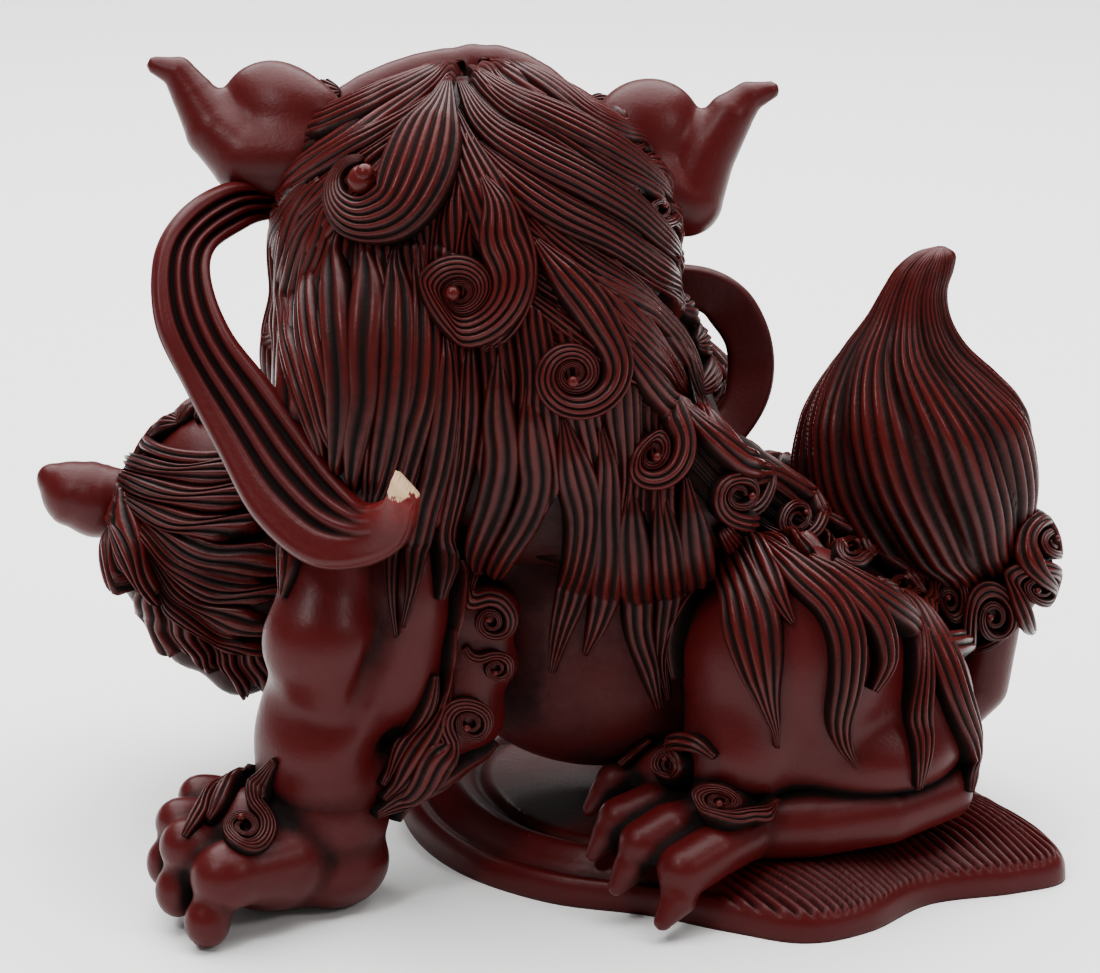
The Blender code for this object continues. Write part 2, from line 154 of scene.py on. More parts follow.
def cell_skin(values, low, step):
    """Surface nets: one point in each grid cell that the zero surface crosses, at the mean of the
    crossings on the cell's twelve edges, and one four-sided face round each crossed grid edge.
    """
    inside = values < 0
    shape = np.array(values.shape) - 1
    total = np.zeros((*shape, 3))
    count = np.zeros(shape)
    for axis in range(3):
        others = [a for a in range(3) if a != axis]
        for u in (0, 1):
            for v in (0, 1):
                start = [slice(0, n) for n in shape]
                for other, shift in zip(others, (u, v)):
                    start[other] = slice(shift, shift + shape[other])
                end = list(start)
                end[axis] = slice(1, shape[axis] + 1)
                a, b = values[tuple(start)], values[tuple(end)]
                crossed = (a < 0) != (b < 0)
                t = np.where(crossed, a / np.where(crossed, a - b, 1), 0)
                where = [0, 0, 0]
                where[axis] = t
                where[others[0]] = u
                where[others[1]] = v
                for k in range(3):
                    total[..., k] += np.where(crossed, where[k], 0)
                count += crossed
    active = count > 0
    index = np.full(shape, -1)
    index[active] = np.arange(active.sum())
    cell = np.argwhere(active)
    points = low + (cell + total[active] / count[active][:, None]) * step
    faces = []
    for axis in range(3):
        one, two = [(1, 2), (2, 0), (0, 1)][axis]
        start, end = [slice(1, -1)] * 3, [slice(1, -1)] * 3
        start[axis], end[axis] = slice(0, -1), slice(1, None)
        a, b = inside[tuple(start)], inside[tuple(end)]
        for flip in (False, True):
            edge = np.argwhere((a & ~b) if not flip else (b & ~a))
            edge[:, one] += 1
            edge[:, two] += 1
            corners = []
            for du, dv in ((0, 0), (1, 0), (1, 1), (0, 1)):
                at = edge.copy()
                at[:, one] -= 1 - du
                at[:, two] -= 1 - dv
                corners.append(index[at[:, 0], at[:, 1], at[:, 2]])
            quad = np.stack(corners, 1)
            faces.append(quad[:, ::-1] if flip else quad)
    return points, np.concatenate(faces)


def lump_grid(lumps, low, high, step, width, reach=10.0):
    """The melted field on a grid. Each lump is worked out only near itself, within reach."""
    axes = [np.arange(a, b + step, step) for a, b in zip(low, high)]
    grid = np.stack(np.meshgrid(*axes, indexing="ij"), -1)
    values = np.full(grid.shape[:-1], FAR_OFF)
    for lump in lumps:
        kind, *shape = lump
        near, far = lump_box([("limb" if kind == "cut" else kind, *shape)], reach + width)
        part = tuple(slice(int(np.searchsorted(axis, a)), int(np.searchsorted(axis, b)) + 1)
                     for axis, a, b in zip(axes, near, far))
        distance = (ball_distance if kind == "ball" else limb_distance)(grid[part], *shape)
        if kind == "cut":
            values[part] = -melt(-values[part], distance, width / 2)
        else:
            values[part] = melt(values[part], distance, width)
    return grid, values


def skin(lumps, step, width, floor=None):
    """The zero surface of melted lumps, cut level at floor, as points and faces."""
    low, high = lump_box(lumps)
    if floor is not None:
        low[2] = floor - 2 * step
    grid, values = lump_grid(lumps, low, high, step, width)
    if floor is not None:
        values = np.maximum(values, floor - grid[..., 2])
    return cell_skin(values, low, step)


# ---------------------------------------------------------------- the whole figure's field

class Body:
    """The figure's melted field on a grid, read between its grid points."""

    def __init__(self, lumps, width, step=2.0):
        """Melts the lumps on a grid, and softens it: each value takes a quarter of its neighbours."""
        self.step = step
        self.low, high = lump_box(lumps, 24)
        self.values = lump_grid(lumps, self.low, high, step, width, reach=22.0)[1]
        for axis in (0, 1, 2) * FIELD_BLURS:
            ahead, behind = (np.roll(self.values, k, axis) for k in (-1, 1))
            self.values = (2 * self.values + ahead + behind) / 4
        slopes = np.gradient(self.values, step)
        self.data = np.stack([self.values, *slopes], -1)

    def probe(self, points):
        """Distance and outward direction at each point, mixed from the eight grid points round it."""
        at = (points - self.low) / self.step
        top = np.array(self.values.shape) - 2
        base = np.clip(np.floor(at).astype(int), 0, top)
        part = np.clip(at - base, 0, 1)
        total = np.zeros((*points.shape[:-1], 4))
        for i in (0, 1):
            for j in (0, 1):
                for k in (0, 1):
                    weight = (np.where(i, part[..., 0], 1 - part[..., 0])
                              * np.where(j, part[..., 1], 1 - part[..., 1])
                              * np.where(k, part[..., 2], 1 - part[..., 2]))
                    total += weight[..., None] * self.data[base[..., 0] + i, base[..., 1] + j,
                                                           base[..., 2] + k]
        normal = total[..., 1:]
        return total[..., 0], normal / np.maximum(np.linalg.norm(normal, axis=-1, keepdims=True), 1e-9)

    def press(self, points, rounds=4):
        """Moves each point onto the surface, down or up its own slope."""
        for _ in range(rounds):
            distance, normal = self.probe(points)
            points = points - distance[..., None] * normal
        return points

    def meet(self, starts, ways, near, far, steps=420):
        """Where each line first meets the body. One that misses is bent to the nearest place on it."""
        reach = np.linspace(near, far, steps)
        line = starts[:, None] + reach[None, :, None] * ways[:, None, :]
        distance = self.probe(line)[0]
        inside = distance < 0
        each = np.arange(len(line))
        first = np.where(inside.any(1), inside.argmax(1), distance.argmin(1)).clip(1)
        before, after = distance[each, first - 1], distance[each, first]
        part = np.where(after < 0, before / np.maximum(before - after, 1e-6), 1.0).clip(0, 1)
        spots = line[each, first - 1] + part[:, None] * (line[each, first] - line[each, first - 1])
        return self.press(spots)

    def iron(self, spots, passes=5):
        """Evens a path: each point takes a quarter of each neighbour, then goes back to the skin."""
        for _ in range(passes):
            inner = (spots[:-2] + 2 * spots[1:-1] + spots[2:]) / 4
            spots = np.concatenate([spots[:1], inner, spots[-1:]])
        return self.press(spots)

    def sight(self, drawn):
        """Where the sight line through each point (a, b) of the drawing sheet meets the body.

        The sheet stands square to the sight line at the target.
        """
        drawn = np.asarray(drawn, float)
        sheet = (EYE_TARGET + drawn[:, :1] * EYE_RIGHT + (drawn[:, 1:2] - SHEET_FOOT) * EYE_UP)
        ways = sheet - EYE
        ways /= np.linalg.norm(ways, axis=1, keepdims=True)
        return self.meet(np.repeat(EYE[None], len(ways), 0), ways, *SIGHT_SPAN)

    def beside(self, drawn):
        """Where the level line through each (y, z), coming from the cub's side, meets the body."""
        drawn = np.asarray(drawn, float)
        starts = np.stack([np.full(len(drawn), -SIDE_SPAN), drawn[:, 0], drawn[:, 1]], 1)
        return self.meet(starts, np.repeat([[1.0, 0.0, 0.0]], len(starts), 0), 0.0, SIDE_SPAN)

    def facing(self, drawn):
        """Where the level line through each (x, z), coming from the face's side, meets the body."""
        drawn = np.asarray(drawn, float)
        starts = np.stack([drawn[:, 0], np.full(len(drawn), SIDE_SPAN), drawn[:, 1]], 1)
        return self.meet(starts, np.repeat([[0.0, -1.0, 0.0]], len(starts), 0), 0.0, FRONT_SPAN)


# ---------------------------------------------------------------- paths and profiles

def spline(a, b, c, d, t):
    """Catmull-Rom: the cubic that leaves b for c at share t, its slopes taken from a and d."""
    return 0.5 * (2 * b + (c - a) * t + (2 * a - 5 * b + 4 * c - d) * t ** 2
                  + (3 * b - a - 3 * c + d) * t ** 3)


def open_spline(points, at):
    """A Catmull-Rom spline through a row of points or paths, read at each span number in at."""
    padded = np.concatenate([2 * points[:1] - points[1:2], points, 2 * points[-1:] - points[-2:-1]])
    span = np.minimum(at.astype(int), len(points) - 2)
    t = (at - span).reshape(-1, *[1] * (points.ndim - 1))
    return spline(*(padded[span + k] for k in range(4)), t)


def smooth_path(points, count):
    """A Catmull-Rom spline through given points, its samples evenly spaced.

    Rows of two or three numbers are (a, b) and perhaps a width; longer ones start with x, y, z.
    """
    points = np.asarray(points, float)
    spans = len(points) - 1
    dense = open_spline(points, np.linspace(0, spans, max(200, 24 * spans)))
    places = dense[:, :2 if points.shape[1] < 4 else 3]
    way = np.r_[0, np.cumsum(np.linalg.norm(np.diff(places, axis=0), axis=1))]
    even = np.linspace(0, way[-1], count)
    return np.stack([np.interp(even, way, column) for column in dense.T], 1)


STRAND_RIB = 1.25        # how far a strand stands above the valleys beside it
CURL_RATE = 0.125        # a curl's radius shrinks by exp(-rate) for each radian it turns


def curl_rows(centre, radius, start, spin, turns, count=90):
    """Rows (a, b, width) of a curl drawn on the sheet: a logarithmic spiral, from its outer edge in.

    The band's width is the distance to the next turn, so that the turns lie side by side.
    """
    angle = np.linspace(0, 2 * math.pi * turns, count)
    spread = 2 * math.sinh(math.pi * CURL_RATE)
    middle = radius / (1 + spread / 2) * np.exp(-CURL_RATE * angle)
    around = math.radians(start) + spin * angle
    return np.stack([centre[0] + middle * np.cos(around), centre[1] + middle * np.sin(around),
                     0.86 * spread * middle], 1)


def ribbed_ring(strands, fine=6, sunk=4):
    """A lock's closed profile: (side, height, rib) with side from -1 to 1 and back underneath.

    The top is an arch, and each strand on it stands up as the absolute value of a sine, which is
    round on top and sharp in the valleys between.
    """
    side = np.linspace(-1, 1, strands * fine + 1)
    ridge = np.abs(np.sin(math.pi * strands * (side + 1) / 2)) ** 0.8
    arch = np.sqrt(np.clip(1 - side ** 2, 0, 1)) ** 0.7
    under = np.linspace(1, -1, sunk + 2)[1:-1]
    return (np.r_[side, under], np.r_[arch, -np.ones(sunk)],
            np.r_[ridge * np.sqrt(arch) * STRAND_RIB, np.zeros(sunk)])


def facing_out(points, faces):
    """The faces, turned round where the volume that they enclose comes out negative."""
    a, b, c = ((points - points[0])[faces[:, k]] for k in range(3))
    return faces[:, ::-1] if np.einsum("ij,ij->", a, np.cross(b, c)) < 0 else faces


def swept(points, wash_and_shade):
    """Closes a grid of rings into a skin: quads between the rings and a fan on each end's middle."""
    count, ring = points.shape[:2]
    first = np.arange(count * ring).reshape(count, ring)
    following = np.roll(first, -1, axis=1)
    quads = np.stack([first[:-1], following[:-1], following[1:], first[1:]], -1).reshape(-1, 4)
    last = count * ring
    tips = np.stack([points[0].mean(0), points[-1].mean(0)])
    faces = np.concatenate([quads[:, [0, 1, 2]], quads[:, [0, 2, 3]],
                            np.stack([following[0], first[0], np.full(ring, last)], -1),
                            np.stack([first[-1], following[-1], np.full(ring, last + 1)], -1)])
    wash_and_shade = np.r_[wash_and_shade.ravel(), wash_and_shade[0].mean(), wash_and_shade[-1].mean()]
    points = np.concatenate([points.reshape(-1, 3), tips])
    return points, facing_out(points, faces), wash_and_shade


def lock_mesh(body, rows, strands, lift, arch=3.0, bed=2.5):
    """One lock of hair: the ribbed ring carried along rows (x, y, z, width) on the body's skin.

    Each ring point is laid out sideways from the path, pressed onto the skin and raised along
    the skin's slope by lift + arch x height + rib. The ends close to a point.
    """
    rows = np.asarray(rows, float)
    path, width = body.press(rows[:, :3]), rows[:, 3]
    along = np.gradient(path, axis=0)
    along /= np.maximum(np.linalg.norm(along, axis=1, keepdims=True), 1e-9)
    outward = body.probe(path)[1]
    across = np.cross(along, outward)
    across /= np.maximum(np.linalg.norm(across, axis=1, keepdims=True), 1e-9)
    side, height, rib = ribbed_ring(strands)
    spot = path[:, None] + across[:, None] * (side[None, :, None] * width[:, None, None] / 2)
    spot = body.press(spot, 3)
    slope = body.probe(spot)[1]
    swell = np.minimum(1, width / (strands * 2.0))[:, None]
    raised = np.where(height > 0, lift + (arch * height + rib) * swell, -bed * np.minimum(1, swell))
    raised = np.where(height == 0, lift * 0.3 - 0.4, raised)
    valley = np.where(height > 0, 1 - rib / STRAND_RIB, 1.0)
    return swept(spot + slope * raised[..., None], np.repeat(valley[None], len(rows), 0))


def combed_sheet(body, guides, strands, group=4.6, lift=0.6, sweep=2.3, fringe=0.2):
    """A sheet of combed hair between guide paths (x, y, z), all root to tip, on the body's skin.

    Across the sheet each strand is the absolute value of a sine, and so is each group of strands,
    broader and lower. Along it the strands sway a little. At the tips every group narrows to a
    point, where the sheet dives into the skin; it does the same at its sides and roots.
    """
    count = guides.shape[1]
    groups = max(1, round(strands / group))
    share = np.linspace(0, 1, strands * 6 + 1)
    down = np.linspace(0, 1, count)
    spot = open_spline(guides, share * (len(guides) - 1)).swapaxes(0, 1)
    sideways = np.gradient(spot, axis=1)
    pitch = np.linalg.norm(sideways, axis=-1) * 6
    sideways /= np.maximum(np.linalg.norm(sideways, axis=-1, keepdims=True), 1e-9)
    sway = 0.55 * np.sin(2 * math.pi * (2.3 * down[:, None] + 2.6 * share))
    sway = sway * np.minimum(1, pitch / 2)
    spot = body.press(spot + sideways * sway[..., None], 3)
    slope = body.probe(spot)[1]
    ridge = np.abs(np.sin(math.pi * strands * share)) ** 0.8
    bunch = np.abs(np.sin(math.pi * groups * share)) ** 0.7
    turn = np.minimum((groups * share).astype(int), groups - 1)
    uneven = np.mod(np.sin(turn * 12.9898 + 4.1) * 43758.5453, 1)
    tip = 1 - fringe * (1.1 - bunch ** 2.8) - 0.13 * uneven
    depth = np.clip((tip[None] - down[:, None]) / 0.045, 0, 1)
    depth = depth * np.clip(down[:, None] / 0.04, 0, 1)
    depth = depth * np.clip(np.minimum(share, 1 - share) * 30, 0, 1)
    swell = np.clip(pitch / 1.9, 0, 1)
    height = lift + (ridge * STRAND_RIB + bunch * sweep + 0.9 * (turn % 2)) * swell
    under = np.linspace(1, 0, 8)[1:-1]
    ends = np.rint(under * (len(share) - 1)).astype(int)
    top = spot + slope * (depth * (height + 1.4) - 1.4)[..., None]
    sunk = spot[:, ends] - slope[:, ends] * 3.2
    wash_and_shade = np.clip(1 - ridge[None] * swell + 0.25 * (1 - depth), 0, 1)
    wash_and_shade = np.concatenate([wash_and_shade, np.ones_like(wash_and_shade[:, ends])], 1)
    return swept(np.concatenate([top, sunk], 1), wash_and_shade)


def gather(parts):
    """Joins (points, faces, wash) meshes into one set of arrays."""
    points, faces, wash_and_shade, offset = [], [], [], 0
    for p, f, w in parts:
        points.append(p)
        faces.append(f + offset)
        wash_and_shade.append(w)
        offset += len(p)
    return np.concatenate(points), np.concatenate(faces), np.concatenate(wash_and_shade)


# ---------------------------------------------------------------- finishes

RUBBED_RED = (0.13, 0.01, 0.009)
PALE_RESIN = (0.52, 0.34, 0.2)


def resin_finish(name, ridge, middle, groove_and_shade, gloss):
    """Cold-painted cast resin: ridges rubbed back to red, a dark wash lying in the grooves.

    It reads marks from the mesh: wash_and_shade, 1 where the dark wash lies in the grooves and where
    shade is painted into hidden places, wear, 1 where the paint is rubbed bright, and chip, 1 where
    the pale resin shows. Noise breaks them up.
    """
    mat = bpy.data.materials.new(name)
    mat.use_nodes = True
    nodes, links = mat.node_tree.nodes, mat.node_tree.links
    shader = nodes["Principled BSDF"]
    place = nodes.new("ShaderNodeTexCoord")

    def noise(scale, detail, rough=0.55):
        """Fractal noise in the piece's own place."""
        made = nodes.new("ShaderNodeTexNoise")
        made.inputs["Scale"].default_value = scale
        made.inputs["Detail"].default_value = detail
        made.inputs["Roughness"].default_value = rough
        links.new(place.outputs["Object"], made.inputs["Vector"])
        return made.outputs["Fac"]

    def sums(kind, a, b, clamp=False):
        """One arithmetic step between two values or sockets."""
        made = nodes.new("ShaderNodeMath")
        made.operation = kind
        made.use_clamp = clamp
        for slot, value in zip(made.inputs, (a, b)):
            if isinstance(value, (int, float)):
                slot.default_value = value
            else:
                links.new(value, slot)
        return made.outputs[0]

    def ramp(fac, stops):
        """A value turned into colours or greys, straight lines between the stops."""
        made = nodes.new("ShaderNodeValToRGB")
        bar = made.color_ramp
        for _ in range(len(stops) - 2):
            bar.elements.new(0.5)
        for element, (at, colour) in zip(bar.elements, stops):
            element.position = at
            element.color = (*colour, 1) if isinstance(colour, tuple) else (colour,) * 3 + (1,)
        links.new(fac, made.inputs["Fac"])
        return made.outputs["Color"]

    def mark(called):
        """One of the mesh's marks."""
        made = nodes.new("ShaderNodeAttribute")
        made.attribute_name = called
        return made.outputs["Fac"]

    def broken_up(value, by, amount, clamp=False):
        """A value with amount x (noise - a half) added."""
        return sums("ADD", value, sums("MULTIPLY", sums("SUBTRACT", by, 0.5), amount), clamp)

    def painted_over(share, under, colour):
        """A colour laid over another, as far as share says."""
        made = nodes.new("ShaderNodeMix")
        made.data_type = "RGBA"
        links.new(share, made.inputs["Factor"])
        links.new(under, made.inputs["A"])
        made.inputs["B"].default_value = (*colour, 1)
        return made.outputs["Result"]

    broad = noise(38, 3)
    fine = noise(420, 5, 0.65)
    # The dark wash in the grooves together with the painted shade, broken up by noise
    stain_and_shade = broken_up(broken_up(mark("wash_and_shade"), broad, 0.55), fine, 0.35, clamp=True)
    paint = ramp(stain_and_shade, [(0.08, ridge), (0.42, middle), (0.78, groove_and_shade)])
    worn = sums("MULTIPLY", mark("wear"), ramp(fine, [(0.35, 0.4), (0.65, 1.0)]), clamp=True)
    bare = ramp(broken_up(mark("chip"), fine, 1.4), [(0.52, 0.0), (0.6, 1.0)])
    coat = painted_over(bare, painted_over(worn, paint, RUBBED_RED), PALE_RESIN)
    links.new(coat, shader.inputs["Base Color"])
    rough = ramp(sums("ADD", sums("MULTIPLY", stain_and_shade, 0.7), sums("MULTIPLY", fine, 0.3)),
                 [(0.15, gloss - 0.06), (0.85, gloss + 0.3)])
    links.new(rough, shader.inputs["Roughness"])
    links.new(ramp(stain_and_shade, [(0.1, 0.15), (0.75, 0.05)]), shader.inputs["Specular IOR Level"])
    bump = nodes.new("ShaderNodeBump")
    bump.inputs["Strength"].default_value = 0.22
    bump.inputs["Distance"].default_value = 0.4 * MM
    links.new(sums("ADD", noise(900, 4), sums("MULTIPLY", broad, 1.5)), bump.inputs["Height"])
    links.new(bump.outputs["Normal"], shader.inputs["Normal"])
    return mat


SMOOTH_RESIN = resin_finish("cinnabar_resin", (0.048, 0.0028, 0.003), (0.032, 0.0022, 0.0024),
                            (0.006, 0.0032, 0.003), gloss=0.42)
HAIR_RESIN = resin_finish("washed_hair_resin", (0.058, 0.0052, 0.0046), (0.018, 0.0024, 0.0022),
                          (0.004, 0.0028, 0.0022), gloss=0.3)


# ---------------------------------------------------------------- the castings' lumps

LION_HEAD = np.array([-22.0, 12.0, 172.0])
CUB_HEAD = np.array([-94.0, 42.0, 74.0])
TAIL_Y = 16.0

TORSO = [
    ("ball", (-30, 0, 98), (39, 41, 48)),
    ("ball", (10, 0, 80), (50, 41, 38)),
    ("ball", (14, -4, 56), (43, 38, 32)),
    ("ball", (66, 0, 50), (46, 40, 36)),
    ("ball", (-22, 0, 132), (32, 32, 34)),
]
HAUNCH = [
    ("ball", (66, -34, 64), (31, 24, 33)),
    ("ball", (95, -24, 46), (23, 21, 29)),
    ("ball", (52, -44, 42), (16, 15, 17)),
    ("ball", (84, -38, 38), (26, 16, 12)),
]
HIND_FOOT = [
    ("limb", [(109, -36, 26, 8), (92, -45, 24, 9), (72, -50, 23, 9.5), (54, -50, 22, 9.5)]),
    ("ball", (46, -44, 22), (15, 20, 10)),
    ("ball", (47, -52, 30), (9.5, 8.5, 9.5)),
    ("ball", (32, -36, 32), (9, 8, 9)),
    ("limb", [(52, -58, 22, 7), (44, -65, 21, 7.5), (36, -70, 18, 7.5)]),
    ("limb", [(34, -74, 11, 5), (30, -77, 6, 2.5)]),
    ("limb", [(42, -52, 24, 7), (32, -58, 25, 6.6), (25, -62, 22, 6.6)]),
    ("limb", [(21, -64, 15, 4.6), (18, -66, 11, 2.5)]),
    ("limb", [(38, -42, 25, 6.5), (27, -46, 26, 6), (19, -50, 24, 6)]),
    ("limb", [(15, -52, 19, 4.2), (12, -53, 15, 2.4)]),
    ("limb", [(34, -30, 28, 6), (25, -33, 30, 5.4), (18, -36, 29, 5.4)]),
    ("limb", [(14, -38, 25, 3.8), (11, -39, 22, 2.2)]),
]
FRONT_LEG = [
    ("ball", (-42, -34, 108), (22, 17, 26)),
    ("ball", (-59, -50, 94), (13, 12, 14)),
    ("ball", (-61, -57, 78), (15.5, 14, 16.5)),
    ("ball", (-38, -46, 86), (11.5, 13, 20)),
    ("ball", (-59, -51, 60), (17.5, 14, 17)),
    ("ball", (-40, -46, 68), (11, 12, 17)),
    ("ball", (-62, -59, 47), (12, 9, 10)),
    ("ball", (-68, -51, 48), (12, 11, 15)),
    ("ball", (-62, -50, 31), (18, 16, 22)),
    ("ball", (-17, -42, 81), (9, 7, 9)),
    ("ball", (-16, -42, 67), (7.5, 7, 7.5)),
    ("ball", (-23, -42, 52), (11, 8, 11)),
    ("cut", [(-41, -61, 88, 2.5), (-46, -63, 74, 4), (-51, -66, 60, 3)]),
    ("cut", [(-71, -67, 63, 1.5), (-61, -69, 58, 2.8), (-51, -66, 57, 2)]),
    ("limb", [(-24, -42, 86, 5), (-22, -43, 72, 7), (-24, -45, 57, 8), (-33, -47, 45, 8),
              (-44, -48, 36, 7)]),
]
FRONT_PAW = [
    ("ball", (-62.5, -50, 27), (19, 17, 18)),
    ("ball", (-60, -50, 12), (16, 16, 13)),
    ("ball", (-76, -53, 15), (19, 19, 15)),
    ("ball", (-81, -58, 27), (11, 10, 9)),
    ("limb", [(-72, -64, 18, 11), (-84, -74, 19, 9)]),
    ("ball", (-87, -77, 19), (8.5, 8, 8.5)),
    ("ball", (-91, -80, 7.5), (6.2, 6.2, 7)),
    ("limb", [(-80, -58, 22, 9), (-93, -66, 22, 7)]),
    ("ball", (-97, -68, 24), (7.5, 7, 7.5)),
    ("ball", (-100, -69, 11.5), (6, 6, 7.5)),
    ("limb", [(-84, -50, 24, 8), (-95, -55, 25, 6.5)]),
    ("ball", (-100, -57, 26), (6.8, 6.6, 6.8)),
    ("ball", (-104, -58, 14.5), (5.5, 5.5, 7)),
    ("limb", [(-82, -40, 25, 8), (-91, -43, 27, 6)]),
    ("ball", (-96, -44, 28), (6, 6, 6)),
    ("ball", (-100, -46, 17), (5, 5, 7)),
]
HEAD = [
    ("ball", LION_HEAD, (44, 42, 43)),
    ("ball", (-22, 40, 190), (35, 20, 19)),
    ("ball", (-22, 54, 169), (28, 23, 9)),
    ("ball", (-22, 68, 167), (17, 13, 7)),
    ("ball", (-48, 46, 160), (14, 16, 18)),
    ("ball", (4, 46, 160), (14, 16, 18)),
    ("ball", (-22, 28, 145), (35, 28, 21)),
    ("limb", [(-62, 20, 203, 5), (-56, 22, 206.5, 5.6), (-50, 24, 209.5, 6), (-43, 26, 212, 6.2),
              (-36, 26, 214.5, 6), (-29, 26, 216.5, 5.4), (-24, 25, 217, 4.6)]),
    ("limb", [(15, 18, 196, 5), (9, 21, 202, 5.6), (3, 23, 207, 6), (-3, 25, 211.5, 6.2),
              (-9, 26, 215, 6), (-15, 26, 217.5, 5.4), (-20, 25, 218, 4.6)]),
    *[("limb", [(-22, 62, 194, 4), (-22 + 10 * s, 63, 200, 6.5), (-22 + 22 * s, 57, 202, 6.5),
                (-22 + 32 * s, 46, 196, 4)]) for s in (-1, 1)],
    ("limb", [(-22, 58, 196, 6), (-22, 70, 182, 7)]),
]
LOWER_JAW = [
    ("ball", (-22, 52, 139), (26, 24, 9)),
    ("ball", (-22, 60, 132), (15, 17, 9)),
]
FRONT_LEG_FAR = [
    ("ball", (-40, 34, 106), (24, 18, 26)),
    ("ball", (-50, 49, 90), (16, 14, 19)),
    ("ball", (-56, 54, 77), (15, 13, 14)),
]
FRONT_PAW_FAR = [
    ("ball", (-58, 57, 67), (16, 14, 11)),
    ("limb", [(-66, 62, 68, 6), (-71, 68, 62, 5.2), (-73, 70, 57, 4)]),
    ("limb", [(-58, 66, 69, 6), (-60, 73, 62, 5.4), (-61, 74, 56, 4)]),
    ("limb", [(-49, 65, 68, 6), (-48, 72, 62, 5.2), (-48, 73, 56, 4)]),
]
CUB_BODY = [
    ("ball", (-68, 40, 44), (23, 17, 20)),
    ("ball", (-56, 44, 34), (19, 17, 21)),
    ("limb", [(-72, 32, 34, 9), (-73, 30, 18, 6.5), (-75, 29, 5, 7)]),
    ("limb", [(-72, 54, 34, 9), (-73, 57, 18, 6.5), (-75, 58, 5, 7)]),
    ("limb", [(-54, 34, 30, 10), (-52, 32, 16, 6.5), (-56, 31, 5, 7)]),
    ("limb", [(-54, 55, 30, 10), (-52, 58, 16, 6.5), (-56, 59, 5, 7)]),
]
CUB_SKULL = [
    ("ball", CUB_HEAD + (0, 2, 8), (27, 25, 31)),
    ("ball", CUB_HEAD + (0, 24, 2), (18, 15, 10)),
    ("ball", CUB_HEAD + (0, 20, -14), (15, 13, 8)),
    ("ball", CUB_HEAD + (-10, 23, 15), (6, 6, 6)),
    ("ball", CUB_HEAD + (10, 23, 15), (6, 6, 6)),
    ("ball", CUB_HEAD + (0, 38, 6), (7, 5, 5)),
    ("limb", [tuple(CUB_HEAD + (-19, 18, 22)) + (3,), tuple(CUB_HEAD + (-9, 25, 24)) + (4,),
              tuple(CUB_HEAD + (0, 27, 18)) + (3,), tuple(CUB_HEAD + (9, 25, 24)) + (4,),
              tuple(CUB_HEAD + (19, 18, 22)) + (3,)]),
]
CUB_MANE = [
    ("ball", CUB_HEAD + (0, -5, -2), (31, 23, 31)),
    ("ball", CUB_HEAD + (12, -3, -18), (28, 23, 27)),
    ("ball", CUB_HEAD + (-20, -12, -4), (12, 12, 15)),
    ("ball", CUB_HEAD + (-10, -14, -22), (11, 12, 14)),
    ("ball", CUB_HEAD + (3, -15, -32), (11, 11, 12)),
    ("ball", CUB_HEAD + (8, -20, 4), (20, 10, 9)),
    ("ball", CUB_HEAD + (12, -20, -12), (18, 10, 9)),
]
TAIL_STALK = [("limb", [(98, 8, 34, 13), (114, 13, 30, 10), (124, 16, 38, 9.5), (128, 16, 60, 8.5)])]
TAIL_COLLAR = [
    ("ball", (122, TAIL_Y, 66), (18, 17, 11)),
    ("ball", (134, TAIL_Y - 2, 76), (8, 11, 12)),
    ("ball", (108, TAIL_Y - 6, 66), (12, 12, 10)),
]
CROWN_BED = [
    ("ball", (-20, -6, 173), (52, 45, 46.5)),
    ("ball", (-20, -16, 148), (54, 38, 34)),
]
SPINE_BED = [("limb", [(14, -6, 138, 27), (27, -4, 114, 23), (44, -2, 95, 19), (64, 0, 82, 16),
                       (92, 2, 68, 12)])]
FLANK_BED = [
    ("ball", (-42, -37, 140), (27, 26, 40)),
    ("ball", (-6, -36, 139), (34, 23, 46)),
    ("ball", (22, -36, 113), (30, 16, 25)),
]
EAR_LEFT = [
    ("ball", (-70, 8, 203), (15, 10, 15)),
    ("ball", (-76, 12, 208), (14, 10, 13)),
    ("limb", [(-68, 4, 196, 11), (-82, 5, 196, 11), (-91, 7, 203, 8.5), (-97, 9, 212, 6),
              (-101, 10, 218, 4.5), (-107, 10, 220, 2.6)]),
]
EAR_RIGHT = [
    ("ball", (24, 8, 197), (15, 10, 16)),
    ("ball", (27, 12, 204), (14, 10, 12)),
    ("limb", [(26, 5, 188, 11), (37, 6, 184, 10.5), (42, 8, 195, 8.5), (49, 10, 206, 6.5),
              (54, 11, 211, 4.5), (60, 11, 213, 2.6)]),
]

NEAR_SIDE = TORSO + HAUNCH + HIND_FOOT + FRONT_LEG + FRONT_PAW
FAR_SIDE = mirrored(HAUNCH) + mirrored(HIND_FOOT) + FRONT_LEG_FAR + FRONT_PAW_FAR
HAIR_BEDS = CROWN_BED + SPINE_BED + FLANK_BED + mirrored(FLANK_BED)
WHOLE = Body(NEAR_SIDE + FAR_SIDE + HEAD + HAIR_BEDS + TAIL_STALK + TAIL_COLLAR, width=5.0)
CUB = Body(CUB_SKULL + CUB_MANE + CUB_BODY, width=4.0, step=1.6)


def crevice(points, body, reach=4.0):
    """How hidden a point is: the share of its free space that some casting takes up.

    It steps out along the skin's slope and reads how far the nearest casting then is. As a mark
    it is both the dark wash in the hollows and painted shade where one casting hides another.
    """
    shade = np.zeros(len(points))
    slope = body.probe(points)[1]
    for step in (0.6, 1.0, 1.6):
        clear = body.probe(points + slope * reach * step)[0]
        shade = np.maximum(shade, 1 - np.clip(clear / (reach * step), 0, 1))
    return np.clip(shade * 1.6 - 0.25, 0, 1)


def add_piece(name, mesh, mat, slot, node, wash_and_shade, **marks):
    """Puts a piece in the scene with its mesh, marks and finish, and hides the casting that it stands
    for.
    """
    points, faces = mesh[:2]
    obj = put_mesh(name, points, faces, {"wash_and_shade": wash_and_shade, "wear": np.zeros(len(points)), **marks})
    obj.data.materials.append(mat)
    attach(obj, "root")
    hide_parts(node)


